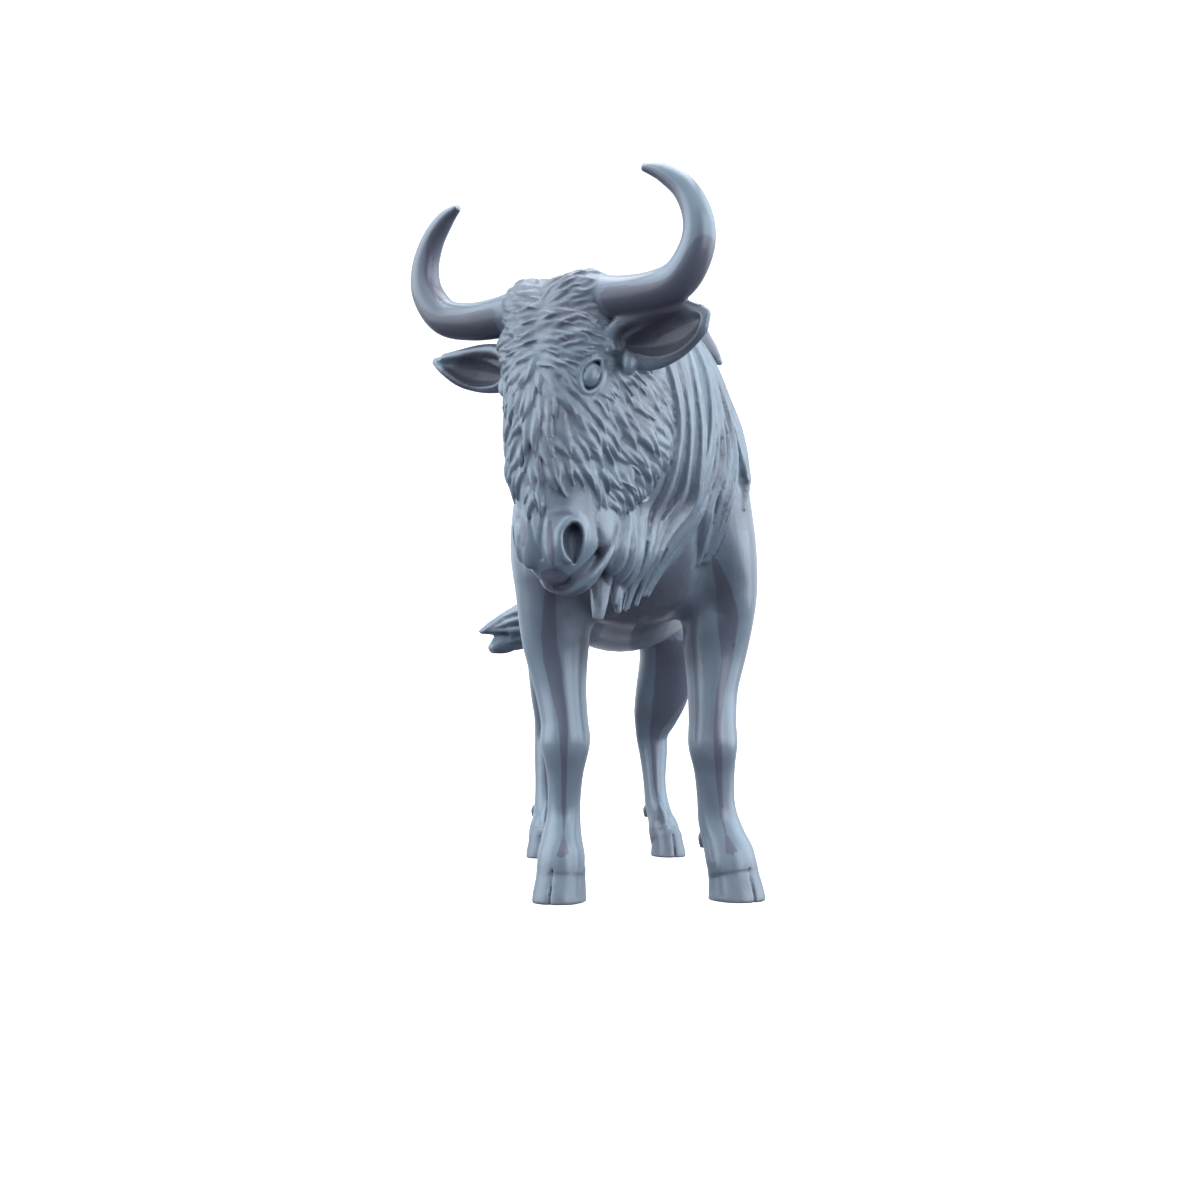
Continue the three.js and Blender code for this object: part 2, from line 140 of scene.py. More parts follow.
class Loft:
    """A closed mass through stations of x, y, z, half width, rise and fall.

    Where the rise is the fall it is said once, and a round section says only its radius.
    """

    def __init__(self, stations, side=ACROSS, square=2.0, bumps=()):
        table = np.array(stations, float)
        self.spine = table[:, :3]
        self.girth = table[:, {4: [3, 3, 3], 5: [3, 4, 4], 6: [3, 4, 5]}[table.shape[1]]]
        self.side = np.array(side)
        self.power = 2.0 / square
        self.bumps = bumps

    def relief(self, t, angle):
        """Height of the bumps: rows of t, angle, height, spread in t and in degrees, alike on both sides."""
        height = np.zeros(np.broadcast(t, angle).shape)
        for at, where, peak, length, breadth in self.bumps:
            for centre in (where, 180 - where):
                turn = (angle - centre + 540) % 360 - 180
                height += peak * np.exp(-(((t - at) / length) ** 2) - (turn / breadth) ** 2)
        return height

    def skin(self, t, angle, lift=0.0):
        """Points of the skin: t runs along the mass, and angle, in degrees, from the side to the rise."""
        t, angle = np.broadcast_arrays(np.asarray(t, float), np.asarray(angle, float))
        centre = curve_at(self.spine, t)
        width, rise, fall = np.moveaxis(np.maximum(curve_at(self.girth, t), THINNEST), -1, 0)
        step = 1e-3
        along = unit(curve_at(self.spine, t + step) - curve_at(self.spine, t - step))
        up = unit(np.cross(along, self.side))
        out = np.cross(up, along)
        c, s = np.cos(np.radians(angle)), np.sin(np.radians(angle))
        reach_out = np.sign(c) * np.abs(c) ** self.power * width
        reach_up = np.sign(s) * np.abs(s) ** self.power * np.where(s > 0, rise, fall)
        reach = out * reach_out[..., None] + up * reach_up[..., None]
        return centre + reach + unit(reach) * (lift + self.relief(t, angle))[..., None]

    def shell(self, sides=48, steps=64):
        """The closed mesh: points, and faces of four corners."""
        t, angle = np.meshgrid(np.linspace(0, 1, steps + 1), np.arange(sides) * 360 / sides, indexing="ij")
        rings = self.skin(t, angle).reshape(-1, 3)
        points = np.vstack([rings, curve_at(self.spine, np.array([0.0, 1.0]))])
        i, j = np.meshgrid(np.arange(steps), np.arange(sides), indexing="ij")
        a, b = i * sides + j, i * sides + (j + 1) % sides
        walls = np.stack([a, b, b + sides, a + sides], -1).reshape(-1, 4)
        j = np.arange(0, sides, 2)
        near, far = len(rings), len(rings) + 1
        first = np.stack([np.full_like(j, near), (j + 2) % sides, j + 1, j], -1)
        top = steps * sides
        last = np.stack([np.full_like(j, far), top + j, top + j + 1, top + (j + 2) % sides], -1)
        return points, np.vstack([walls, first, last])


# %% A ball and a mirror image
def ball(centre, half, turn=(0, 0, 0)):
    """A ball stretched to three half sizes and turned by degrees about x, y and z."""
    x, y, z = np.asarray(half, float)
    # A short loft whose stations follow a half circle, and stop just short of its ends.
    place = np.cos(np.linspace(math.pi * 0.985, math.pi * 0.015, 13))
    width = np.sqrt(1 - place**2)
    stations = [[0, p * y, 0, w * x, w * z] for p, w in zip(place, width)]
    points, faces = Loft(stations).shell(24, 24)
    rotation = np.array(Euler([math.radians(a) for a in turn]).to_matrix())
    return points @ rotation.T + np.array(centre, float), faces


def mirrored(stations):
    """The same stations on the animal's right."""
    return [[-x, *rest] for x, *rest in stations]


print("points and faces of a ball:", [len(part) for part in ball((0, 0, 0), (1, 1, 1))])

# %% [markdown]
# ## Clay
# Where two masses meet, a sculptor smears the seam. Boolean unions and bevels make a poor smear on a body,
# so the masses are pressed into a grid of small cubes that holds the distance to the surface, negative
# inside. Adding a mass takes the smaller of two distances, and a smooth minimum melts the seam between
# them. Carving takes the larger of one distance and the other's negative.


# %% The clay
SETTLING_STEPS = 6


class Clay:
    """A solid held as distances on a grid of cubes."""

    def __init__(self, low, high, cell, reach):
        self.cell = cell
        self.reach = reach
        self.low = np.floor(np.array(low) / cell).astype(int)
        size = np.ceil(np.array(high) / cell).astype(int) - self.low
        self.field = np.full(size, reach, np.float32)

    def read(self, shell):
        """The window of the grid that a closed mesh reaches, and its distances there."""
        points, faces = shell
        corners = {3: "triangles", 4: "quads"}[faces.shape[1]]
        grid = openvdb.FloatGrid.createLevelSetFromPolygons(
            np.ascontiguousarray(points, np.float32),
            **{corners: np.ascontiguousarray(faces, np.uint32)},
            transform=openvdb.createLinearTransform(self.cell),
            halfWidth=self.reach / self.cell,
        )
        first, last = (np.array(corner) for corner in grid.evalActiveVoxelBoundingBox())
        first = np.maximum(first, self.low)
        last = np.minimum(last + 1, self.low + self.field.shape)
        distances = np.empty(last - first, np.float32)
        grid.copyToArray(distances, ijk=tuple(int(v) for v in first))
        window = tuple(slice(a, b) for a, b in zip(first - self.low, last - self.low))
        return window, distances

    def add(self, shell, blend=0.0):
        """Press a mass on, melting the seam over `blend` millimetres."""
        window, other = self.read(shell)
        here = self.field[window]
        if blend:
            share = np.clip(0.5 + 0.5 * (here - other) / blend, 0, 1)
            other = here + (other - here) * share - blend * share * (1 - share)
        self.field[window] = np.minimum(here, other)

    def carve(self, shell, blend=0.0):
        """Cut a shape out, rounding the rim over `blend` millimetres."""
        window, other = self.read(shell)
        here = self.field[window]
        if blend:
            share = np.clip(0.5 - 0.5 * (here + other) / blend, 0, 1)
            other = -(here + (-other - here) * share + blend * share * (1 - share))
        self.field[window] = np.maximum(here, -other)

    def distance(self, points):
        """The distance at points between the cubes' corners."""
        place = np.asarray(points) / self.cell - self.low
        place = np.clip(place, 0, np.array(self.field.shape) - 1.001)
        corner = place.astype(int)
        share = place - corner
        total = np.zeros(len(place))
        for step in np.ndindex(2, 2, 2):
            weight = np.prod(np.where(step, share, 1 - share), axis=1)
            total += weight * self.field[tuple((corner + step).T)]
        return total

    def uphill(self, points):
        """The way out of the clay at points."""
        steps = np.eye(3) * self.cell
        slope = [self.distance(points + step) - self.distance(points - step) for step in steps]
        return unit(np.stack(slope, -1))

    def settle(self, points, lift):
        """Move points straight in or out until they stand at a height over the surface."""
        points = np.array(points, float)
        for _ in range(SETTLING_STEPS):
            points += self.uphill(points) * (lift - self.distance(points))[:, None]
        return points

    def shell(self):
        """The surface as points and faces of four corners."""
        grid = openvdb.FloatGrid(self.reach)
        grid.copyFromArray(self.field, ijk=tuple(int(v) for v in self.low))
        grid.transform = openvdb.createLinearTransform(self.cell)
        grid.gridClass = openvdb.GridClass.LEVEL_SET
        points, _, faces = grid.convertToPolygons(isovalue=0.0, adaptivity=0.0)
        return points, faces[:, ::-1]


# %% From clay to a mesh
def mesh_of(name, shell):
    """A mesh object from points and faces of four corners, in the ground frame's millimetres."""
    points, faces = shell
    mesh = bpy.data.meshes.new(name)
    mesh.vertices.add(len(points))
    mesh.vertices.foreach_set("co", np.asarray(points, np.float32).ravel())
    mesh.loops.add(faces.size)
    mesh.loops.foreach_set("vertex_index", np.asarray(faces, np.int32).ravel())
    mesh.polygons.add(len(faces))
    mesh.polygons.foreach_set("loop_start", np.arange(0, faces.size, faces.shape[1], dtype=np.int32))
    mesh.update(calc_edges=True)
    mesh.validate()
    piece = bpy.data.objects.new(name, mesh)
    bpy.context.scene.collection.objects.link(piece)
    return piece


# A ball of 5 mm shows how true the clay is.
test = Clay((-8, -8, -8), (8, 8, 8), 0.4, 2.0)
test.add(ball((0, 0, 0), (5, 5, 5)))
ball_volume = float((test.field < 0).sum()) * 0.4**3
print("volume of a ball, mm3:", round(ball_volume), "instead of", round(4 / 3 * math.pi * 5**3))

# %% [markdown]
# ## Trunk, neck and legs
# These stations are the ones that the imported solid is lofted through, so the two agree. A real wildebeest
# carries its weight in front: high withers, a deep chest, and a back that slopes down to lean haunches.

# %% Stations of the trunk, the neck and the throat
TRUNK = [
    [1.5, 138.5, 98, 4, 7, 9],
    [1.5, 134, 96, 13, 13.5, 19],
    [1.5, 123, 94, 20.5, 22, 26],
    [1, 106, 93, 24, 27, 25.5],
    [0, 84, 93, 26, 29.5, 30],
    [-0.5, 60, 93, 27.5, 34, 32.3],
    [-1.5, 38, 96, 27, 38, 33.5],
    [-2, 20, 98, 26, 39.5, 34],
    [-2.2, 6, 99, 24.5, 38, 34],
    [-2.2, -5, 100, 21, 34, 32],
    [-2.4, -13, 100, 15, 26, 26],
    [-2.4, -17.5, 100, 6, 12, 12],
]
NECK = [
    [-2, 24, 106, 14, 30, 22],
    [-2.2, 10, 108, 19.6, 30.5, 27],
    [-4, -4, 110, 20.8, 29.5, 30],
    [-8, -16, 112, 18.8, 26.5, 30],
    [-13.2, -27, 113.5, 15, 22, 27],
    [-18, -36, 115, 11.5, 17, 21],
    [-20, -41, 117, 8, 11, 14],
]
THROAT = [
    [-3.5, -12, 88, 9, 12, 16],
    [-7, -20, 86, 7.5, 14, 15.5],
    [-10.5, -27, 86, 6, 14, 15],
    [-14, -33, 88, 4.8, 14, 14.5],
    [-17, -38, 92, 3, 10, 10],
]
print("length of the trunk, mm:", TRUNK[0][1] - TRUNK[-1][1])

# %% Stations of the front legs
FRONT_LEFT = [
    [8, 14, 124, 5, 9, 9],
    [12, 11, 111, 9, 14, 14],
    [14.6, 8, 97, 9.8, 16.5, 17],
    [16.8, 7, 84, 9.7, 15, 17.5],
    [18.4, 8, 73, 8.7, 11.5, 14],
    [17.5, 9.5, 61, 7.9, 8.4, 9.5],
    [16.6, 9.3, 50, 6.1, 7, 7],
    [16.3, 8.4, 42, 5.7, 6.4, 5.6],
    [16.3, 8, 36.5, 5.9, 6.2, 5.4],
    [16.8, 9, 30.5, 4.9, 4.8, 4.8],
    [17.2, 9.8, 24, 4.5, 4.2, 4.6],
    [17.8, 10.4, 19, 4.8, 4.6, 5.4],
    [19, 9.8, 14.5, 5.2, 5.4, 5.6],
    [20.3, 8.4, 10, 5.9, 6, 5.8],
    [20.8, 7.8, 6.5, 5.6, 6, 5.6],
]
FRONT_RIGHT = [
    [-12, 14, 124, 5, 9, 9],
    [-16.5, 11, 111, 9.5, 14, 14],
    [-20.2, 8, 97, 10.2, 16.5, 17],
    [-21.6, 7, 84, 10.4, 15, 17.5],
    [-21.2, 8, 73, 9.6, 11.5, 14],
    [-21, 9.5, 61, 8.1, 8.4, 9.5],
    [-19.9, 9.3, 50, 6.2, 7, 7],
    [-19, 8.4, 42, 5.6, 6.4, 5.6],
    [-18.8, 8, 37, 5.9, 6.2, 5.4],
    [-18.8, 9, 30, 4.4, 4.8, 4.8],
    [-18.9, 9.8, 24, 3.9, 4.2, 4.6],
    [-19, 10.4, 19.5, 4, 4.6, 5.4],
    [-19.4, 9.8, 15, 4.7, 5.4, 5.6],
    [-19.7, 8.4, 10.5, 5.6, 6, 5.8],
    [-19.8, 7.8, 6.5, 5.4, 6, 5.6],
]
print("between the front feet, mm:", round(FRONT_LEFT[-1][0] - FRONT_RIGHT[-1][0], 1))

# %% Stations of the hind legs
HIND_LEGS = [
    # x of the left and the right leg, their half widths, y, z, rise and fall
    (9, -6, 5, 5, 118, 105, 8, 7),
    (15, -12, 10, 10, 117, 98, 16, 13),
    (17.2, -14.5, 11, 10.6, 113, 86, 19, 17),
    (18.6, -16, 9.8, 9.2, 109, 73, 16, 16),
    (19.4, -16.2, 8.8, 8.2, 112, 62, 11, 12),
    (18.4, -15.8, 8.4, 7.2, 118, 51, 7.8, 9),
    (17.2, -15.4, 7.2, 6.3, 124.5, 44, 6.2, 6.6),
    (16.3, -16, 5.3, 5.3, 128, 38, 5.4, 5.6),
    (16.7, -17, 4.4, 4.3, 128, 31, 4.6, 4.6),
    (16.9, -17.4, 3.6, 3.7, 127, 23, 4, 4.2),
    (17.4, -17.6, 3.7, 3.7, 126, 16.5, 4.4, 5.4),
    (18.3, -18, 4, 4, 123.5, 11.5, 4.8, 5.2),
    (19, -18.4, 4.8, 4.8, 120.5, 8, 5.2, 5.4),
    (19.3, -18.6, 4.6, 4.6, 119, 5, 5, 5),
]
HIND_LEFT = [[x, y, z, half, rise, fall] for x, _, half, _, y, z, rise, fall in HIND_LEGS]
HIND_RIGHT = [[x, y, z, half, rise, fall] for _, x, _, half, y, z, rise, fall in HIND_LEGS]
print("between the hind feet, mm:", round(HIND_LEFT[-1][0] - HIND_RIGHT[-1][0], 1))

# %% Stations of the tail and of the mane's longest locks
TAIL = [
    [1, 127, 103, 3.4, 3.4, 3.4],
    [0.5, 138.5, 105.5, 3.4, 3.4, 3.4],
    [-2, 144.5, 100, 2.6, 2.6, 2.6],
    [-6, 147.5, 92, 2.6, 2.6, 2.6],
    [-12, 146.2, 84, 4, 4, 4],
    [-19, 143.2, 77, 6.2, 6.2, 6.2],
    [-26, 140, 72.5, 6, 6.4, 6.4],
    [-31, 138, 70.4, 4.6, 5.4, 5],
]
TUFT_TIPS = [
    [
        [-28, 139, 73.4, 4.6, 3.6],
        [-33.5, 137, 72.2, 3.2, 2.6],
        [-38.8, 135, 70.4, 0.6, 0.5],
    ],
    [
        [-27, 140, 70, 4.6, 4],
        [-31.5, 138, 67, 3.8, 3.4],
        [-35.4, 136, 64.8, 1.4, 1.4],
    ],
]
MANE_TIPS = [
    [
        [3, 3, 134, 4, 3],
        [9.5, 3.4, 133.6, 4.6, 3],
        [14.4, 4.4, 130.8, 3.2, 2.2],
        [18.6, 5, 127.6, 0.5, 0.5],
    ],
    [
        [3, 1, 136, 3, 2.4],
        [9, 1.6, 136.6, 3, 2.2],
        [14.6, 3, 134.4, 0.5, 0.5],
    ],
]
print("points of the tuft and of the mane:", len(TUFT_TIPS), len(MANE_TIPS))

# %% Press the body together
BODY_CELL = 0.4
BODY_REACH = 5.5
BODY_LOW = (-58, -70, -3)
BODY_HIGH = (34, 154, 155)
SOFT = 5.0  # how far the large masses melt together
THROAT_SOFT = 3.0
TAIL_SOFT = 2.0
TUFT_SOFT = 1.5
MANE_SOFT = 1.0
body = Clay(BODY_LOW, BODY_HIGH, BODY_CELL, BODY_REACH)
body.add(Loft(TRUNK).shell())
body.add(Loft(NECK).shell(), SOFT)
body.add(Loft(THROAT).shell(), THROAT_SOFT)
for stations in (FRONT_LEFT, FRONT_RIGHT, HIND_LEFT, HIND_RIGHT):
    body.add(Loft(stations).shell(40, 96), SOFT)
body.add(Loft(TAIL).shell(24, 64), TAIL_SOFT)
for stations in TUFT_TIPS:
    body.add(Loft(stations).shell(24, 32), TUFT_SOFT)
for stations in MANE_TIPS:
    body.add(Loft(stations).shell(24, 32), MANE_SOFT)
print("volume of the masses, cm3:", round(float((body.field < 0).sum()) * BODY_CELL**3 / 1000, 1))

# %% [markdown]
# ## Furrows between the muscles
# Shallow furrows part the shoulder, the haunch and the chest. Each is a line of points laid onto the body,
# and a spindle along it is carved out so softly that only its lowest part marks the skin.

# %% Carve the furrows
MUSCLE_LINES = [
    # on the left: behind the shoulder, before the haunch, and between chest and shoulder
    [(25, 26, 114), (27, 23, 102), (27, 21, 90), (25, 19, 78), (22, 18, 70)],
    [(22, 104, 112), (26, 98, 99), (25, 95, 86), (21, 93, 74), (15, 92, 66)],
    [(8, -10, 96), (13, -9, 84), (14.5, -8, 76), (14, -7, 68), (11.5, -5, 62)],
]
MIDDLE_X = -2  # the body's middle plane
FURROW_POINTS = 16
FURROW_GIRTH = 3.2
FURROW_SOFT = 5.3
FURROW_DEPTH = 0.75
spindle = FURROW_GIRTH * np.sin(np.linspace(0.15, 3, FURROW_POINTS)) ** 0.7
for line in MUSCLE_LINES:
    for s in (-1, 1):
        knots = [(MIDDLE_X + s * (x - MIDDLE_X), y, z) for x, y, z in line]
        knots = curve_at(knots, np.linspace(0, 1, FURROW_POINTS))
        laid = body.settle(knots, FURROW_GIRTH - FURROW_DEPTH)
        body.carve(Loft(np.column_stack([laid, spindle])).shell(24, 48), FURROW_SOFT)
print("furrows:", 2 * len(MUSCLE_LINES))

# %% [markdown]
# ## Hooves and dewclaws
# A wildebeest walks on two claws to each foot. In the casting the claws are one block, parted by a groove
# down the toe, and the feet are turned out a little. A thin roll round the top of the block is the coronet,
# where horn meets skin. Two dewclaws sit behind each fetlock.

# %% Sizes of the feet
SOLE_DEPTH = 1.5  # how far the hooves run below the ground before the soles are cut
HOOF_MIDDLE = 0.48  # where the turning line of a hoof stands, as a share of its length from the toe
HOOF_SOFT = 0.9
CORONET_ROLL = 0.42
CORONET_SOFT = 0.5
CLEFT_HALF = 0.3
CLEFT_SOFT = 0.3
DEWCLAW_SOFT = 1.0
HOOVES = [
    # x of the middle, y of the toe, half width, length, height, degrees turned to the animal's left
    (21.6, 0.3, 6.0, 13.8, 7.6, 30),
    (-20.2, 0.2, 6.0, 14.1, 7.6, -24),
    (19.9, 111, 5, 12.8, 6.6, 14),
    (-19, 111, 5, 12.8, 6.6, -14),
]
DEWCLAWS = [
    # x, y, z, spread and size
    (18.6, 14.8, 14.2, 3.4, 2.1),
    (-19.4, 14.8, 14.2, 3.2, 2.1),
    (17.9, 130, 13.6, 3, 1.9),
    (-17.9, 130, 13.6, 3, 1.9),
]
print("lengths of the hooves, mm:", [length for _, _, _, length, _, _ in HOOVES])


# %% Shapes of the feet
def turned_about(shell, x, y, degrees):
    """A mass turned about an upright line, a positive angle taking the front to the animal's left."""
    points, faces = shell
    c, s = math.cos(math.radians(degrees)), math.sin(math.radians(degrees))
    flat = points[:, :2] - (x, y)
    flat = np.stack([flat[:, 0] * c - flat[:, 1] * s, flat[:, 0] * s + flat[:, 1] * c], -1) + (x, y)
    return np.hstack([flat, points[:, 2:]]), faces


def hoof(x, toe, half, length, height):
    """The block of a hoof, the roll of its coronet and the groove between its claws."""
    middle = toe + length * HOOF_MIDDLE
    block = [
        [x, middle + 1.8, height + 1.2, half - 1.5, length * 0.33, length * 0.33],
        [x, middle + 1.4, height, half - 0.7, length * 0.39, length * 0.39],
        [x, middle + 0.8, height * 0.6, half - 0.35, length * 0.43, length * 0.44],
        [x, middle, 0.8, half, length * 0.48, length * 0.5],
        [x, middle, -SOLE_DEPTH, half, length * 0.48, length * 0.5],
    ]
    ring_half = half - 0.8
    ring_length = length * 0.38
    roll = []
    for a in np.radians(np.arange(0, 375, 15)):
        along = middle + 1.4 - ring_length * math.cos(a)
        roll.append([x + ring_half * math.sin(a), along, height, CORONET_ROLL])
    cleft = [
        [x, middle + 1.2 - length * 0.38, height + 0.4, 0.2, 0.3],
        [x, middle + 0.8 - length * 0.43, height * 0.8, CLEFT_HALF, 0.7],
        [x, middle + 0.4 - length * 0.47, height * 0.4, CLEFT_HALF, 0.8],
        [x, middle - length * 0.5, 0, CLEFT_HALF, 0.9],
        [x, middle - length * 0.5, -SOLE_DEPTH, CLEFT_HALF, 0.9],
    ]
    return (
        Loft(block, square=2.4).shell(48, 32),
        Loft(roll, side=(0, 0, 1)).shell(12, 72),
        Loft(cleft).shell(16, 24),
    )


def dewclaws(x, y, z, spread, size):
    """Two small dewclaws behind a fetlock."""
    shells = []
    for s in (-1, 1):
        stations = [
            [x + s * spread * 0.7, y - size, z + size * 0.8, size * 0.6],
            [x + s * spread, y, z, size * 0.75],
            [x + s * spread * 1.08, y + size * 0.4, z - size * 1.3, size * 0.35],
        ]
        shells.append(Loft(stations).shell(16, 16))
    return shells


# %% Press the feet on
for x, toe, half, length, height, turn in HOOVES:
    shells = hoof(x, toe, half, length, height)
    block, roll, cleft = (turned_about(shell, x, toe + length * HOOF_MIDDLE, turn) for shell in shells)
    body.add(block, HOOF_SOFT)
    body.add(roll, CORONET_SOFT)
    body.carve(cleft, CLEFT_SOFT)
for pair in DEWCLAWS:
    for claw in dewclaws(*pair):
        body.add(claw, DEWCLAW_SOFT)
print("hooves:", len(HOOVES), "dewclaws:", 2 * len(DEWCLAWS))

# %% [markdown]
# ## The head
# The head is pressed from finer clay in its own frame, because its features are small: brows and crown, the
# swell of the cheeks, the flared wings of the nostrils and the lips. The horns are one loft each. An ear is
# a leaf-shaped loft with a smaller leaf cut out of its front, and a rolled rim along its lower edge. The eye
# is a ball in a socket, with a roll of clay round it for the lids.

# %% Stations of the skull, the muzzle and the jaw
SKULL = [
    [0, -5.5, 2.4, 7, 8, 8],
    [0, -5.5, 4.2, 11, 12.4, 12],
    [0, -6, 9, 13.2, 14.6, 15],
    [0, -6.4, 17, 13.8, 15.4, 17],
    [0, -6.2, 25, 13.4, 15.2, 18],
    [0, -5.2, 33, 12.2, 14.2, 17],
    [0, -4, 41, 10.8, 12.6, 14.6],
    [0, -3, 47, 9.4, 10.6, 11],
    [0, -2.6, 50.5, 6.5, 7, 7],
]
SKULL_BUMPS = [
    (0.36, 47, 1.1, 0.07, 13),  # brow over the eye
]
MUZZLE = [
    [0, -3, 43, 8, 8.6, 9],
    [0, -2.8, 48, 9.4, 10, 10.4],
    [0.1, -2.4, 52.5, 9.2, 9.3, 8.2],
    [0.3, -2, 56.5, 8.8, 8.3, 6],
    [0.5, -1.6, 60, 7.4, 6.7, 4.8],
    [0.7, -1.2, 63, 5.4, 4.7, 3.8],
    [0.8, -0.8, 65, 3, 3, 2.8],
    [0.8, -0.6, 65.9, 1, 1, 1],
]
LOWER_JAW = [
    [0, -14, 33, 6.6, 5, 5],
    [0, -12.4, 41, 7.2, 4.6, 5],
    [0.2, -10.4, 50, 7.7, 4, 4.6],
    [0.5, -8.2, 57, 7.7, 3.4, 3.8],
    [0.8, -6.2, 62, 6.6, 3.2, 3],
    [1, -4.6, 65.2, 4.4, 2.6, 2.2],
    [1, -3.8, 66.8, 1.6, 1, 1],
]
print("length of the skull and the muzzle, mm:", round(MUZZLE[-1][2] - SKULL[0][2], 1))

# %% Stations of the lips and the cheeks
LOWER_LIP = [
    # the roll round the lower lip, from the right corner of the mouth to the left one
    (-7.4, -9.2, 52),
    (-7.1, -7.6, 56),
    (-6.4, -5.6, 59.8),
    (-5, -3.8, 62.8),
    (-2.6, -2.6, 65),
    (0.8, -2.1, 66),
    (3.6, -2.4, 65.6),
    (6.2, -3.6, 63.6),
    (7.9, -5.3, 60.8),
    (8.8, -7, 57.4),
    (9.1, -8.4, 54.6),
]
MOUTH = [
    # half of the gap between the lips, from the middle to the corner
    [0.8, 0.1, 65.9, 0.32, 0.32, 2.5],
    [3, -0.2, 65.2, 0.4, 0.4, 2.8],
    [4.8, -0.2, 64.4, 0.65, 0.65, 3],
    [6.6, -1.2, 62.9, 0.95, 0.95, 3],
    [7.9, -2.6, 60.9, 1.05, 1.05, 2.8],
    [8.6, -4.1, 58.6, 0.95, 0.95, 2.4],
    [9.1, -5.7, 55.8, 0.7, 0.7, 1.8],
    [9.4, -7.2, 53, 0.35, 0.35, 1],
]
CHEEK = [
    [8.5, -12, 11, 3, 5, 6],
    [9.6, -13, 19, 5.2, 8, 9],
    [10.4, -14, 27, 5.9, 9.5, 10],
    [10.2, -14, 34, 5.8, 9.5, 9.5],
    [9.2, -12.5, 40, 4.8, 8, 7.5],
    [8.2, -10.5, 45, 3.5, 6, 5.5],
    [7.2, -8.5, 49, 2, 3.5, 3.5],
]
print("width of the mouth, mm:", 2 * MOUTH[-1][0])

# %% Stations of the horns
HORN_SOFT = 0.8
HORN = [
    [7, 1, 6.2, 4.8, 4.6, 4.8],
    [15, 1, 7.4, 4.4, 4.3, 4.4],
    [23, 1.3, 7.4, 4.1, 4, 4.1],
    [29.6, 2.2, 5.8, 3.9, 3.9, 3.9],
    [33.7, 3.2, 0.6, 3.5, 3.5, 3.5],
    [34.2, 4, -5, 3, 3, 3],
    [31.8, 4.8, -10.6, 2.5, 2.5, 2.5],
    [27.6, 5.9, -14.4, 1.9, 1.9, 1.9],
    [23.2, 7, -16.2, 0.8, 0.8, 0.8],
]
print("between the bends of the horns, mm:", 2 * max(x for x, *_ in HORN))

# %% Stations of the ears
EAR_LEFT = [
    [10, -3, 15.8, 2.6, 3.4, 3.4],
    [15, -2.6, 16, 2.8, 5.2, 4.4],
    [20.5, -2.1, 15.9, 2.6, 6.6, 5.4],
    [26.5, -1.5, 15.1, 2.2, 6, 5],
    [31.4, -0.9, 13.9, 1.5, 4.2, 3.6],
    [33.6, -0.6, 13, 1.1, 2.4, 1.9],
    [34.8, -0.5, 12.6, 0.5, 0.6, 0.6],
]
EAR_LEFT_RIM = [
    [13.4, 0.9, 18.4, 1.1, 1.1],
    [12.7, 1.3, 15.8, 1.7, 1.5],
    [14.8, 1.2, 13.2, 1.6, 1.5],
    [19, 0.6, 12.1, 1.4, 1.4],
    [24, 0.3, 11.2, 1.2, 1.2],
    [29, 0, 10.9, 1, 1],
    [33, -0.4, 11.8, 0.6, 0.6],
]
EAR_LEFT_HOLLOW = [
    [15.6, 0.2, 16.9, 2, 0.5, 0.5],
    [17.2, 0.2, 16.9, 2.8, 1.6, 1.6],
    [19, 0.2, 16.9, 3.1, 2.3, 2.3],
    [22.3, 0.2, 16.7, 3.2, 3.4, 3.4],
    [26.2, 0.3, 16.2, 2.7, 3.7, 3.7],
    [30, 0.4, 15, 2, 2.9, 3],
    [32.3, 0.4, 13.8, 1.2, 1.1, 1.1],
    [33, 0.4, 13.4, 0.3, 0.3, 0.3],
]
EAR_RIGHT = [
    [-10, -3, 17.2, 2.6, 3.4, 3.4],
    [-15, -2.6, 17.9, 2.8, 4.9, 4.7],
    [-20.5, -2.1, 17.7, 2.6, 5.2, 5],
    [-26.5, -1.5, 16.8, 2, 4, 4.2],
    [-31.4, -0.9, 15.5, 1.3, 2.4, 2.4],
    [-34.5, -0.5, 14.4, 0.6, 0.7, 0.7],
]
EAR_RIGHT_RIM = [
    [-13.4, 0.9, 19.6, 1.1, 1.1],
    [-12.7, 1.3, 17, 1.6, 1.4],
    [-15.5, 1, 14.8, 1.5, 1.4],
    [-20, 0.6, 14, 1.3, 1.3],
    [-26, 0.1, 13.8, 1, 1],
    [-31.5, -0.3, 13.9, 0.6, 0.6],
]
EAR_RIGHT_HOLLOW = [
    [-15.6, 0.2, 19.4, 2.4, 1],
    [-18.8, 0.2, 19.3, 3, 2.4],
    [-23.6, 0.3, 18.2, 3, 2.9],
    [-28, 0.4, 16.7, 2.2, 1.9],
    [-31, 0.4, 15.5, 1.2, 0.8],
    [-32.6, 0.4, 15.1, 0.3, 0.3],
]
EAR_LOBE = ((16.8, -0.3, 20.4), (1.5, 1.6, 3))  # middle and half sizes
EAR_SOFT = 1.6
EAR_RIM_SOFT = 1.2
EAR_HOLLOW_SOFT = 0.7
print("between the tips of the ears, mm:", round(EAR_LEFT[-1][0] - EAR_RIGHT[-1][0], 1))

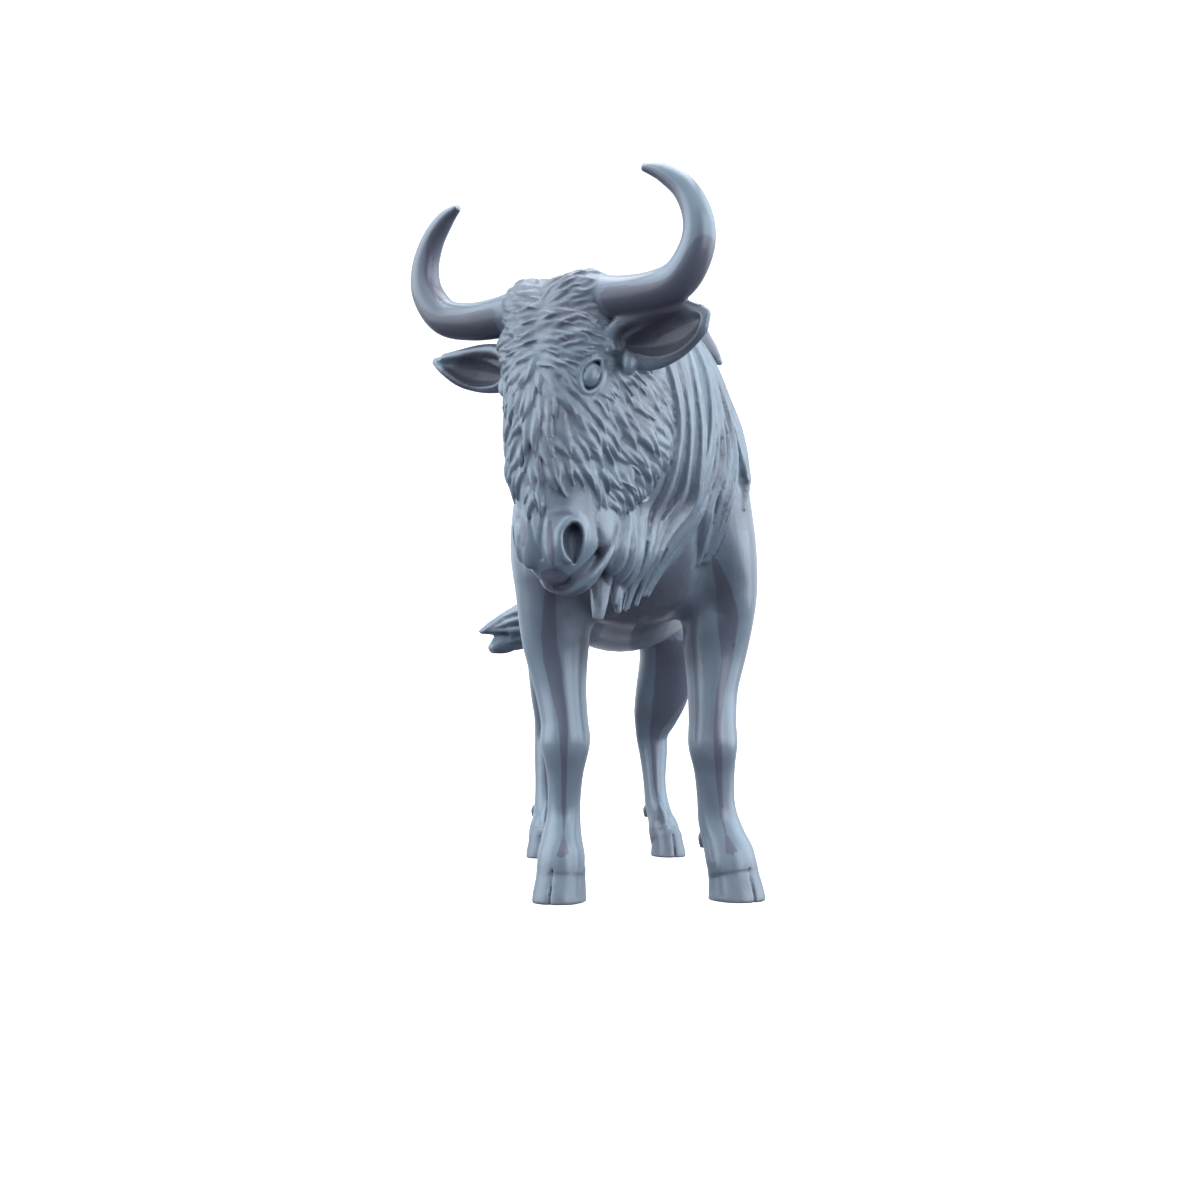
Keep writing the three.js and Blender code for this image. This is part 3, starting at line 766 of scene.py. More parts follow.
# %% Outline of the eye
# It is drawn on a plane that faces outwards and forwards, in millimetres back towards the ear and down
# towards the nose, and so is the nostril.
EYE = (11.0, 4.7, 23.7)
EYE_TURN = -45  # degrees that the plane of the eye is turned from the front to the animal's left
EYE_LEAN = -19  # degrees that the top of the eye leans back
EYELID = 0.52  # radius of the roll round the eye
EYELID_SPREAD = 1.18
EYEBALL_HALF = (1.75, 1.5, 2.6)
EYEBALL_SUNK = 0.35
EYE_SOCKET = [
    # back, down, half width
    (1.5, -2.8, 0.25),
    (0.8, -1.8, 1.2),
    (0.3, -0.5, 1.9),
    (0.0, 0.8, 1.95),
    (-0.4, 2, 1.4),
    (-0.8, 3, 0.3),
]
EYE_OUTLINE = [
    (1.6, -2.9),
    (2.1, -1.2),
    (2.0, 0.6),
    (1.2, 2.2),
    (-0.3, 3.1),
    (-1.6, 2.4),
    (-2.1, 0.4),
    (-1.4, -1.4),
    (0.2, -2.6),
]
print("height of the eye, mm:", max(down for _, down in EYE_OUTLINE) - min(down for _, down in EYE_OUTLINE))

# %% Outline of the nostril, and pads of the nose
NOSTRIL = (7.0, 3.6, 57.2)
NOSTRIL_TURN = -36
NOSTRIL_RIM = 0.55
FOLD_RADIUS = 0.42
PHILTRUM_RADIUS = 0.42
LIP_RADIUS = 1.2
NOSTRIL_HOLE = [
    # back, down, half width
    (0.1, -3.8, 0.5),
    (0.15, -2.8, 1.5),
    (0.0, -1.2, 2.0),
    (0.05, 0.6, 1.9),
    (0.25, 2.2, 1.4),
    (0.45, 3.3, 0.75),
    (0.5, 4.0, 0.3),
]
NOSTRIL_OUTLINE = [
    (0.3, -4.4),
    (-1.3, -3.9),
    (-2.5, -1.8),
    (-2.55, 0.4),
    (-1.9, 2.6),
    (-0.8, 4.0),
    (0.4, 4.8),
    (1.3, 3.8),
    (1.9, 2.2),
    (2.35, 0.0),
    (2.2, -2.2),
    (1.5, -3.7),
]
NOSTRIL_FOLD = [(-4.0, -5.9), (-1.4, -6.2), (1.2, -5.3), (2.8, -3.9), (3.3, -1.6), (3.2, 1.2), (2.9, 3)]
PHILTRUM = [(2.1, 6.8, 50.5), (1.6, 6.4, 53.5), (0.85, 5.8, 57), (0, 5.2, 60.8)]
PADS = [
    # on the left: middle, half sizes, how far the seam melts
    ((7.6, 0.6, 6.4), (5.6, 6, 5.2), 2.5),  # boss of the crown under the horn
    ((5.2, 2.1, 55.3), (2.8, 3, 4.6), 1.6),  # wing of the nostril
    ((3.4, 4.3, 57), (1.6, 1.4, 5), 2.6),  # flat of the nose beside the nostril
]
heights = [down for _, down in NOSTRIL_OUTLINE]
print("height of the nostril, mm:", round(max(heights) - min(heights), 1))

# %% Shapes that lie on the face


def other_side(shell):
    """The mirror image of a mass, on the animal's right."""
    points, faces = shell
    return points * (-1, 1, 1), faces[:, ::-1]


def on_plane(centre, turn, outline):
    """An outline's points on a plane through a centre, turned by degrees about the length of the face."""
    a = math.radians(turn)
    back, down = np.array(outline, float)[:, :2].T
    return np.array(centre) + np.stack([back * math.cos(a), back * math.sin(a), down], -1)


def facing(turn):
    """The way out of such a plane."""
    a = math.radians(turn)
    return (-math.sin(a), math.cos(a), 0.0)


def backwards(turn):
    """The way back along such a plane."""
    a = math.radians(turn)
    return (math.cos(a), math.sin(a), 0.0)


def pit(centre, turn, rows, rise, fall):
    """A hole in such a plane, from rows of back, down and half width."""
    places = on_plane(centre, turn, rows)
    stations = [[*place, width, rise, fall] for place, (_, _, width) in zip(places, rows)]
    return Loft(stations, side=backwards(turn)).shell(32, 48)


def tube(points, radius, side, closed=False, ends=1.0):
    """A round tube along points, thinner at open ends by a share."""
    points = np.asarray(points)
    if closed:
        points = np.vstack([points, points[:1]])
    sizes = np.full(len(points), float(radius))
    sizes[[0, -1]] *= ends
    return Loft(np.column_stack([points, sizes]), side=side).shell(12, 12 * len(points))


print("the left eye looks along:", [round(v, 2) for v in facing(EYE_TURN)])

# %% Press the head together
HEAD_CELL = 0.22
HEAD_REACH = 3.5
HEAD_LOW = (-40, -32, -20)
HEAD_HIGH = (40, 14, 72)
MUZZLE_SOFT = 1.5
JAW_SOFT = 1.2
CHEEK_SOFT = 3
head = Clay(HEAD_LOW, HEAD_HIGH, HEAD_CELL, HEAD_REACH)
head.add(Loft(SKULL, square=2.6, bumps=SKULL_BUMPS).shell(96, 128))
head.add(Loft(MUZZLE, square=2.1).shell(96, 64), MUZZLE_SOFT)
head.add(Loft(LOWER_JAW, square=2.3).shell(64, 64), JAW_SOFT)
for stations in (CHEEK, mirrored(CHEEK)):
    head.add(Loft(stations).shell(48, 48), CHEEK_SOFT)
for s in (-1, 1):
    for (x, y, z), half, blend in PADS:
        head.add(ball((s * x, y, z), half), blend)
fur_base = head.shell()  # what the hair of the face grows on
print("faces of the bare head:", len(fur_base[1]))

# %% Press on the horns and the ears
for stations in (HORN, mirrored(HORN)):
    head.add(Loft(stations, side=OUT_OF_FACE).shell(48, 96), HORN_SOFT)
for stations in (EAR_LEFT, EAR_RIGHT):
    head.add(Loft(stations, side=OUT_OF_FACE).shell(48, 64), EAR_SOFT)
for stations in (EAR_LEFT_RIM, EAR_RIGHT_RIM):
    head.add(Loft(stations, side=OUT_OF_FACE).shell(24, 64), EAR_RIM_SOFT)
head.add(ball(*EAR_LOBE), EAR_RIM_SOFT)
for stations in (EAR_LEFT_HOLLOW, EAR_RIGHT_HOLLOW):
    head.carve(Loft(stations, side=OUT_OF_FACE).shell(32, 48), EAR_HOLLOW_SOFT)
print("size of the head's grid:", head.field.shape)

# %% Cut the eyes, the nostrils and the mouth
head.add(tube(LOWER_LIP, LIP_RADIUS, OUT_OF_FACE, ends=0.3), 1.0)
lid = on_plane(EYE, EYE_TURN, np.array(EYE_OUTLINE) * EYELID_SPREAD)
lid = tube(head.settle(lid, -0.05), EYELID, facing(EYE_TURN), closed=True)
rim = head.settle(on_plane(NOSTRIL, NOSTRIL_TURN, NOSTRIL_OUTLINE), -0.1)
rim = tube(rim, NOSTRIL_RIM, facing(NOSTRIL_TURN), closed=True)
fold = head.settle(on_plane(NOSTRIL, NOSTRIL_TURN, NOSTRIL_FOLD), -0.3)
fold = tube(fold, FOLD_RADIUS, facing(NOSTRIL_TURN), ends=0.4)
philtrum = tube(head.settle(PHILTRUM, 0.12), PHILTRUM_RADIUS, ACROSS, ends=0.6)
nostril = pit(NOSTRIL, NOSTRIL_TURN, NOSTRIL_HOLE, 3, 3.4)
mouth = Loft(MOUTH, side=OUT_OF_FACE).shell(24, 96)
socket = pit(EYE, EYE_TURN, EYE_SOCKET, 2.5, 1.2)
eyeball = np.array(EYE) - np.array(facing(EYE_TURN)) * EYEBALL_SUNK
eyeball = ball(eyeball, EYEBALL_HALF, (0, EYE_LEAN, EYE_TURN))
FEATURES = [
    # the tool, the shape, and how far its edge melts, in the order of the work
    (head.add, fold, 1.0),
    (head.add, rim, 1.0),
    (head.carve, philtrum, 0.6),
    (head.carve, nostril, 0.5),
    (head.carve, mouth, 0.35),
    (head.add, lid, 1.0),
    (head.carve, socket, 0.3),
    (head.add, eyeball, 0.0),
]
for tool, shape, blend in FEATURES:
    tool(shape, blend)
    tool(other_side(shape), blend)
print("features on each side of the face:", len(FEATURES))

# %% [markdown]
# ## Node trees as Python
# The hair is grown by Geometry Nodes, and the finish is a shader tree. Both are easier to read as Python, so
# one small class wraps a socket and lets node maths be written as expressions, and one method adds any other
# node with its settings first and its sockets after them.


# %% A tree that is written as Python
class Wire:
    """One value that runs through a node tree."""

    def __init__(self, book, socket):
        self.book = book
        self.socket = socket

    def maths(self, operation, *values):
        """The wire from a Math node."""
        return self.book.node("ShaderNodeMath", {"operation": operation}, dict(enumerate(values)))

    def __add__(self, other):
        return self.maths("ADD", self, other)

    def __mul__(self, other):
        return self.maths("MULTIPLY", self, other)

    __radd__ = __add__


class Book:
    """A node tree to which nodes are added."""

    def __init__(self, tree):
        self.tree = tree

    def node(self, kind, settings=None, sockets=None, output=0):
        """Add a node, and give back the wire from one of its outputs."""
        node = self.tree.nodes.new(kind)
        for name, value in (settings or {}).items():
            setattr(node, name, value)
        for key, value in (sockets or {}).items():
            if isinstance(value, Wire):
                self.tree.links.new(value.socket, node.inputs[key])
            else:
                node.inputs[key].default_value = value
        return Wire(self, node.outputs[output]) if node.outputs else None

    def output_of(self, wire, name):
        """The wire from another output of the same node."""
        return Wire(self, wire.socket.node.outputs[name])


# %% A tree that grows hair on an object
def hair_tree(name, sizes):
    """A Geometry Nodes tree with a geometry input and named number inputs, and its group input node."""
    tree = bpy.data.node_groups.new(name, "GeometryNodeTree")
    tree.interface.new_socket("Geometry", in_out="INPUT", socket_type="NodeSocketGeometry")
    for size, kind in sizes.items():
        tree.interface.new_socket(size, in_out="INPUT", socket_type=kind)
    tree.interface.new_socket("Geometry", in_out="OUTPUT", socket_type="NodeSocketGeometry")
    book = Book(tree)
    geometry = book.node("NodeGroupInput")
    return tree, book, geometry


def grown(ground, tree, values):
    """The plain mesh, as points and triangles, that a tree grows on an object with these inputs."""
    modifier = ground.modifiers.new(tree.name, "NODES")
    modifier.node_group = tree
    for item in tree.interface.items_tree:
        if item.in_out == "INPUT" and item.name in values:
            modifier[item.identifier] = values[item.name]
    depsgraph = bpy.context.evaluated_depsgraph_get()
    mesh = bpy.data.meshes.new_from_object(ground.evaluated_get(depsgraph))
    ground.modifiers.remove(modifier)
    points = np.empty(len(mesh.vertices) * 3, np.float32)
    mesh.vertices.foreach_get("co", points)
    mesh.calc_loop_triangles()
    triangles = np.empty(len(mesh.loop_triangles) * 3, np.int32)
    mesh.loop_triangles.foreach_get("vertices", triangles)
    bpy.data.meshes.remove(mesh)
    return points.reshape(-1, 3), triangles.reshape(-1, 3)


# %% [markdown]
# ## Locks on the face
# The face is covered with leaf-shaped locks that overlap like tiles. They part along the middle, run
# sideways on the forehead, down on the bridge, and back and down over the cheeks. A sculptor presses them in
# one by one with a tool. Geometry Nodes do the same: they scatter a few lock shapes over the skull, turn
# each along the flow of the hair, and lay it onto the curved skin. A lock is low at its root and high at its
# tip, so each tip rides on the roots of the next ones.

# %% One lock
LOCK_ROWS = 8
LOCK_COLUMNS = 5
LOCK_BURIED = -1.2  # depth of a lock's underside, in lock heights
LOCK_BEHIND = 0.25  # the share of a lock that lies behind its root


def lock_shape(name, bend, wave):
    """A flame-shaped lock of length 1 and width 1. Its height is kept as the attribute `rise`."""
    rows = np.linspace(0, 1, LOCK_ROWS)
    columns = np.linspace(-1, 1, LOCK_COLUMNS)
    rows, columns = np.meshgrid(rows, columns, indexing="ij")
    half = 0.5 * np.sin(math.pi * (0.16 + 0.84 * rows**0.8)) ** 0.8 + 0.015
    x = rows - LOCK_BEHIND
    y = half * columns + bend * rows**2 + wave * np.sin(2 * math.pi * rows)
    ridge = 1 - 0.9 * np.abs(columns) ** 1.5
    rise = (0.1 + 0.9 * smooth_step(-0.1, 0.7, rows)) * ridge * (1 - 0.35 * rows**5)
    top = np.stack([x, y, np.zeros_like(x)], -1).reshape(-1, 3)
    points = np.vstack([top, top])
    rises = np.concatenate([rise.ravel(), np.full(rise.size, LOCK_BURIED)])
    index = np.arange(LOCK_ROWS * LOCK_COLUMNS).reshape(LOCK_ROWS, LOCK_COLUMNS)
    upper = np.stack([index[:-1, :-1], index[1:, :-1], index[1:, 1:], index[:-1, 1:]], -1).reshape(-1, 4)
    rim = np.concatenate([index[:, 0], index[-1, 1:], index[-2::-1, -1], index[0, -2:0:-1]])
    after = np.roll(rim, -1)
    wall = np.stack([rim, rim + index.size, after + index.size, after], -1)
    lower = (upper + index.size)[:, ::-1]
    piece = mesh_of(name, (points, np.vstack([upper, lower, wall])))
    piece.data.attributes.new("rise", "FLOAT", "POINT").data.foreach_set("value", rises)
    return piece


LOCK_BENDS = [
    # sideways bend and wave, as shares of a lock
    (-0.25, 0.1),
    (0.2, -0.12),
    (0.3, 0.08),
    (-0.1, -0.1),
]
lock_shapes = bpy.data.collections.new("lock shapes")
bpy.context.scene.collection.children.link(lock_shapes)
for number, (bend, wave) in enumerate(LOCK_BENDS):
    shape = lock_shape(f"lock {number}", bend, wave)
    bpy.context.scene.collection.objects.unlink(shape)
    lock_shapes.objects.link(shape)
print("faces of one lock:", len(shape.data.polygons))


# %% The tree that lays locks on a skin
def lock_tree():
    """Set a lock on each rooted vertex, turn it, size it and lay it down."""
    sizes = {
        "Length": "NodeSocketFloat",
        "Width": "NodeSocketFloat",
        "Height": "NodeSocketFloat",
        "Disorder": "NodeSocketFloat",
        "Seed": "NodeSocketInt",
    }
    tree, book, skin = hair_tree("locks of hair", sizes)
    size = {name: book.output_of(skin, name) for name in sizes}

    def attribute(name, kind="FLOAT"):
        return book.node("GeometryNodeInputNamedAttribute", {"data_type": kind}, {"Name": name})

    def varied(low, high, seed):
        sockets = {2: low, 3: high, "Seed": size["Seed"] + seed}
        return book.node("FunctionNodeRandomValue", {"data_type": "FLOAT"}, sockets, 1)

    def stored(points, name, value):
        settings = {"data_type": "FLOAT", "domain": "POINT"}
        sockets = {"Geometry": points, "Name": name, "Value": value}
        return book.node("GeometryNodeStoreNamedAttribute", settings, sockets)

    points = book.node("GeometryNodeMeshToPoints", None, {"Mesh": skin, "Selection": attribute("rooted")})
    upright = book.node(
        "FunctionNodeAxesToRotation",
        {"primary_axis": "Z", "secondary_axis": "X"},
        {
            "Primary Axis": attribute("outward", "FLOAT_VECTOR"),
            "Secondary Axis": attribute("flow", "FLOAT_VECTOR"),
        },
    )
    swing = varied(-1.0, 1.0, 1) * size["Disorder"]
    swing = book.node("ShaderNodeCombineXYZ", None, {"Z": swing})
    swing = book.node("FunctionNodeEulerToRotation", None, {0: swing})
    turned = book.node(
        "FunctionNodeRotateRotation", {"rotation_space": "LOCAL"}, {"Rotation": upright, "Rotate By": swing}
    )
    stature = attribute("growth") * varied(0.75, 1.25, 2)
    points = stored(points, "stature", stature)
    points = stored(points, "fullness", stature * varied(0.7, 1.3, 5))
    scale = book.node(
        "ShaderNodeCombineXYZ",
        None,
        {
            "X": size["Length"] * attribute("stature"),
            "Y": size["Width"] * attribute("stature") * varied(0.8, 1.2, 3),
            "Z": 1.0,
        },
    )
    shapes = {"Collection": lock_shapes, "Separate Children": True}
    shapes = book.node("GeometryNodeCollectionInfo", None, shapes)
    last = len(lock_shapes.objects) - 1
    choice = book.node("FunctionNodeRandomValue", {"data_type": "INT"}, {4: 0, 5: last, "Seed": 4}, 2)
    locks = book.node(
        "GeometryNodeInstanceOnPoints",
        None,
        {
            "Points": points,
            "Instance": shapes,
            "Pick Instance": True,
            "Instance Index": choice,
            "Rotation": turned,
            "Scale": scale,
        },
    )
    locks = book.node("GeometryNodeRealizeInstances", None, {"Geometry": locks})
    nearest = book.node("GeometryNodeProximity", {"target_element": "FACES"}, {"Target": skin})
    outward = book.node(
        "GeometryNodeSampleNearestSurface",
        {"data_type": "FLOAT_VECTOR"},
        {"Mesh": skin, "Value": attribute("outward", "FLOAT_VECTOR")},
    )
    lift = attribute("rise") * attribute("fullness") * size["Height"]
    lifted = book.node("ShaderNodeVectorMath", {"operation": "SCALE"}, {0: outward, "Scale": lift})
    laid = book.node("ShaderNodeVectorMath", {"operation": "ADD"}, {0: nearest, 1: lifted})
    locks = book.node("GeometryNodeSetPosition", None, {"Geometry": locks, "Position": laid})
    locks = book.node("GeometryNodeSetMaterial", None, {"Geometry": locks, "Material": resin})
    book.node("NodeGroupOutput", None, {"Geometry": locks})
    return tree


# %% How the hair of the face runs
def normals_of(piece):
    """The vertex normals of an object's mesh."""
    normals = np.empty(len(piece.data.vertices) * 3, np.float32)
    piece.data.vertex_normals.foreach_get("vector", normals)
    return normals.reshape(-1, 3)


def mark(piece, **fields):
    """Keep arrays on an object's vertices as attributes."""
    for name, values in fields.items():
        values = np.asarray(values, np.float32)
        kind, key = ("FLOAT_VECTOR", "vector") if values.ndim == 2 else ("FLOAT", "value")
        piece.data.attributes.new(name, kind, "POINT").data.foreach_set(key, values.ravel())


PARTING_HALF = 0.8  # half width of the parting down the middle of the face
CROWN_BAND = (4, 15)  # down the face, where upward hair on the crown turns sideways
BROW_BAND = (17, 28)  # where sideways hair on the forehead turns down
CHEEK_BAND = (15, 27)  # where the hair of the cheek begins
CHEEK_AWAY = (8, 12.5)  # from the middle of the face, where the hair of the cheek turns back


def face_flow(points):
    """The direction of the hair at points of the head's own frame."""
    x, y, z = points.T
    outward = np.tanh(x / PARTING_HALF)
    away = np.abs(x)
    down = smooth_step(*BROW_BAND, z)
    side = smooth_step(*CHEEK_AWAY, away) * smooth_step(*CHEEK_BAND, z)
    crown = 1 - smooth_step(*CROWN_BAND, z)
    flow_x = outward * (1 - down) + outward * down * (0.12 + 0.065 * away)
    flow_z = 0.05 * (1 - down) + down - 0.45 * crown
    flow = np.stack([flow_x * (1 - 0.9 * side), -1.5 * side, flow_z], -1)
    return unit(flow)


def near(points, centre, low, high):
    """0 at a centre and 1 away from it."""
    return smooth_step(low, high, np.linalg.norm(points - np.array(centre), axis=1))


print("hair on the forehead and on the bridge runs along:")
print(face_flow(np.array([(6.0, 0.0, 17.0), (3.0, 0.0, 35.0)])).round(2))

# %% Pick roots that keep apart
ROOTS_TRIED = 16000
ROOTS_DEEP = 3  # millimetres through the head that part two roots


def rooted(points, normals, flow, furred, growth, along, across, chance):
    """Pick roots so that none stands close to another, less close down the flow than across it."""
    beside = np.cross(normals, flow)
    order = chance.permutation(np.flatnonzero(furred > 0.5))
    kept = np.empty(0, int)
    for one in order[:: max(1, len(order) // ROOTS_TRIED)]:
        apart = points[kept] - points[one]
        far = (apart @ flow[one] / along) ** 2 + (apart @ beside[one] / across) ** 2
        far = far + (apart @ normals[one] / ROOTS_DEEP) ** 2
        if not np.any(far < growth[one] ** 2):
            kept = np.append(kept, one)
    picked = np.zeros(len(points))
    picked[kept] = 1
    return picked


# %% Root the locks
LOCK_ALONG = 3.5  # between roots down the flow
LOCK_ACROSS = 1.6  # between roots side by side
FUR_END = 43.5  # how far down the face the fur reaches, apart from the tongue and the jowls
FUR_TONGUE = 7  # further down, on the bridge of the nose
FUR_TONGUE_HALF = 1.6
FUR_JOWL = 10  # further down, on the jowls
EAR_ROOT = (14, -2.6, 15.9)
HORN_ROOT = (13, 1.0, 7.4)
face = mesh_of("face", fur_base)
points = np.asarray(fur_base[0], float)
x, y, z = points.T
folded = np.stack([np.abs(x), y, z], -1)
tongue = FUR_TONGUE * np.exp(-((x / FUR_TONGUE_HALF) ** 2))
jowl = FUR_JOWL * smooth_step(3, -5, y) * smooth_step(6, 8.5, np.abs(x))
furred = z < FUR_END + tongue + jowl
furred &= near(folded, EYE, 4.0, 4.1) > 0.5
furred &= near(folded, EAR_ROOT, 4.6, 5.4) > 0.5
furred &= near(folded, HORN_ROOT, 4.2, 5.0) > 0.5
# Locks are shorter on the forehead, round the eye and at the edge of the fur, and longer below the jaw.
growth = 0.72 + 0.3 * smooth_step(20, 34, z) + 0.2 * smooth_step(-4, -14, y) * smooth_step(14, 26, z)
growth *= 0.55 + 0.45 * near(folded, EYE, 3.5, 8)
growth *= 1 - 0.4 * smooth_step(43, 49, z)
flow = face_flow(points)
outward = normals_of(face)
flow = unit(flow - outward * np.sum(flow * outward, axis=1, keepdims=True))
chance = np.random.default_rng(5)
roots = rooted(points, outward, flow, furred, growth, LOCK_ALONG, LOCK_ACROSS, chance)
mark(face, rooted=roots, growth=growth, flow=flow, outward=outward)
lock_roots, lock_flow, lock_out = points[roots > 0], flow[roots > 0], outward[roots > 0]
print("locks on the face:", int(roots.sum()))

# %% [markdown]
# ## The finish
# The casting has one satin blue-grey finish under a thin clear coat. The resin was tinted in the mass, so
# the colour drifts a little over a few millimetres. Light and shade are painted into the colour as well:
# painted purple-grey shade darkens the grooves of the hair, the hollows, the ears, the breast and the mouth,
# painted highlights make the crests paler, and painted dark reflections lie as bands down the front of the
# legs and as patches on the nose and the horns. An image could hold all that, but it follows the shape, so
# the mesh carries where it lies as attributes that are measured further down: the depth of the grooves, the
# hidden share of the sky, the hair with its comb lines, the painted shade and the painted reflections. Fine
# lines and faint waves in the surface are too small for the mesh and are left to a bump.

# %% Colours and strengths of the finish
BODY_COLOUR = (0.178, 0.237, 0.298, 1)
# painted highlight on the crests of the hair
HIGHLIGHT_COLOUR = (0.28, 0.33, 0.38, 1)
# painted purple-grey shade, also used for the dark comb lines
SHADE_AND_COMB_COLOUR = (0.055, 0.055, 0.08, 1)
DRIFT_COLOUR = (0.16, 0.19, 0.24, 1)
# painted dark reflection and shade on the legs, the nose, the lips, the horns and the mane
REFLECTION_COLOUR = (0.1, 0.1, 0.14, 1)
DRIFT_RANGE = (0.42, 0.68)
CREST_RANGE = (0.1, 0.34)  # height of the crests that get a painted highlight, mm
SHELTER_RANGE = (0.45, 1.0)  # share of the sky that is hidden
# painted shade where the casting hides the sky
SHELTER_SHADE = 0.7
GROOVE_RANGE = (0.03, 0.22)  # depth of the grooves, mm
# painted shade in the grooves
GROOVE_SHADE = 0.85
COMB_RANGE = (0.5, 0.3)
COMB_WASH = 0.15
BAND_RANGE = (0.8, 0.94)
BAND_RAGGED = 0.8  # how ragged the edge of a band of painted dark reflection is
BAND_SHARE = 0.7
# painted shade in the ears, on the breast, the forehead and the hooves, under the horns and in the mouth
PAINTED_SHADE_STRENGTH = 0.85
GLOSS_ROUGHNESS = 0.3
for name, shade in (("resin", BODY_COLOUR), ("wash", SHADE_AND_COMB_COLOUR)):
    print("mean of the colour of the", name, "is", round(sum(shade[:3]) / 3, 3))


# %% The resin
def resin_tree(material):
    """Build the finish from the attributes of the mesh and from noise."""
    book = Book(material.node_tree)
    place = book.node("ShaderNodeTexCoord", None, None, "Object")

    def attribute(name):
        return book.node("ShaderNodeAttribute", {"attribute_name": name}, None, "Fac")

    def noise(scale, detail, stretch=(1.0, 1.0, 1.0)):
        here = book.node("ShaderNodeVectorMath", {"operation": "MULTIPLY"}, {0: place, 1: stretch})
        sockets = {"Vector": here, "Scale": scale, "Detail": detail}
        return book.node("ShaderNodeTexNoise", None, sockets, "Fac")

    def graded(value, low, high):
        sockets = {"Value": value, "From Min": low, "From Max": high}
        return book.node("ShaderNodeMapRange", {"interpolation_type": "SMOOTHSTEP"}, sockets)

    def mixed(share, first, second):
        sockets = {"Factor": share, "A": first, "B": second}
        return book.node("ShaderNodeMix", {"data_type": "RGBA"}, sockets, "Result")

    def bumped(height, strength, distance, under=None):
        sockets = {"Height": height, "Strength": strength, "Distance": distance}
        if under:
            sockets["Normal"] = under
        return book.node("ShaderNodeBump", None, sockets)

    groove = attribute("groove")
    hair = attribute("hair")
    washed = attribute("washed")
    combed = book.node("ShaderNodeAttribute", {"attribute_name": "combed"}, None, "Vector")
    strands = book.node("ShaderNodeTexNoise", None, {"Vector": combed, "Scale": 1.9, "Detail": 2.0}, "Fac")
    edges = attribute("brushed") + noise(70.0, 3.0, (1.0, 1.0, 0.5)) * BAND_RAGGED

    colour = mixed(graded(noise(55.0, 3.0), *DRIFT_RANGE), BODY_COLOUR, DRIFT_COLOUR)
    # Paler crests: a painted highlight.
    colour = mixed(graded(groove * -1.0, *CREST_RANGE), colour, HIGHLIGHT_COLOUR)
    # Darkening where the sky is hidden and in the grooves: painted shade.
    colour = mixed(graded(attribute("shelter"), *SHELTER_RANGE) * SHELTER_SHADE, colour, SHADE_AND_COMB_COLOUR)
    colour = mixed(graded(groove, *GROOVE_RANGE) * GROOVE_SHADE, colour, SHADE_AND_COMB_COLOUR)
    colour = mixed(graded(strands, *COMB_RANGE) * hair * COMB_WASH, colour, SHADE_AND_COMB_COLOUR)
    # Bands and patches: painted dark reflection and shade.
    colour = mixed(graded(edges, *BAND_RANGE) * BAND_SHARE, colour, REFLECTION_COLOUR)
    # Painted shade in the ears, on the breast, the forehead and the hooves, under the horns and in the mouth.
    colour = mixed(washed * PAINTED_SHADE_STRENGTH, colour, SHADE_AND_COMB_COLOUR)
    roughness = GLOSS_ROUGHNESS + noise(140.0, 2.0) * 0.08 + graded(groove, 0.0, 0.2) * 0.2 + washed * 0.3
    bump = bumped(noise(60.0, 2.0), 0.4, 0.0015)  # faint waves left by the hand
    bump = bumped(noise(260.0, 3.0, (1.0, 1.0, 6.0)), 0.1, 0.0002, bump)  # lines left by the brush
    bump = bumped(strands * hair, 0.3, 0.0005, bump)  # single hairs
    gloss = book.node(
        "ShaderNodeBsdfPrincipled",
        None,
        {
            "Base Color": colour,
            "Roughness": roughness,
            "Metallic": 0.12,
            "Coat Weight": 0.4,
            "Coat Roughness": 0.16,
            "Normal": bump,
        },
    )
    book.node("ShaderNodeOutputMaterial", None, {"Surface": gloss})


resin = bpy.data.materials.new("blue grey cast resin")
resin.use_nodes = True
resin.node_tree.nodes.clear()
resin_tree(resin)
print("nodes of the finish:", len(resin.node_tree.nodes))

# %% Grow the locks of the face
STRAND_ALONG = 6.5
STRAND_ACROSS = 3.0
LOCK_SIZES = {"Length": 8.4, "Width": 2.6, "Height": 0.95, "Disorder": 0.3, "Seed": 7}
STRAND_SIZES = {"Length": 6.5, "Width": 1.2, "Height": 1.15, "Disorder": 0.4, "Seed": 21}
LOCK_SOFT = 0.12
tree = lock_tree()
locks = grown(face, tree, LOCK_SIZES)
head.add(locks, LOCK_SOFT)
face.data.attributes.remove(face.data.attributes["rooted"])
chance = np.random.default_rng(6)
strands = rooted(points, outward, flow, furred, growth, STRAND_ALONG, STRAND_ACROSS, chance)
mark(face, rooted=strands)
head.add(grown(face, tree, STRAND_SIZES), LOCK_SOFT)
bpy.data.objects.remove(face)
for shape in list(lock_shapes.objects):
    bpy.data.objects.remove(shape)
print("triangles of the locks:", len(locks[1]), "thin strands over them:", int(strands.sum()))

# %% [markdown]
# ## Long hair of the neck
# Long ropes of hair hang from the crest, run down both sides of the neck and gather under the throat into a
# beard. Each rope is a path that is laid onto the clay. Geometry Nodes turn the paths into tubes that swell
# and taper, and the tubes are pressed into the clay so that only their backs show.


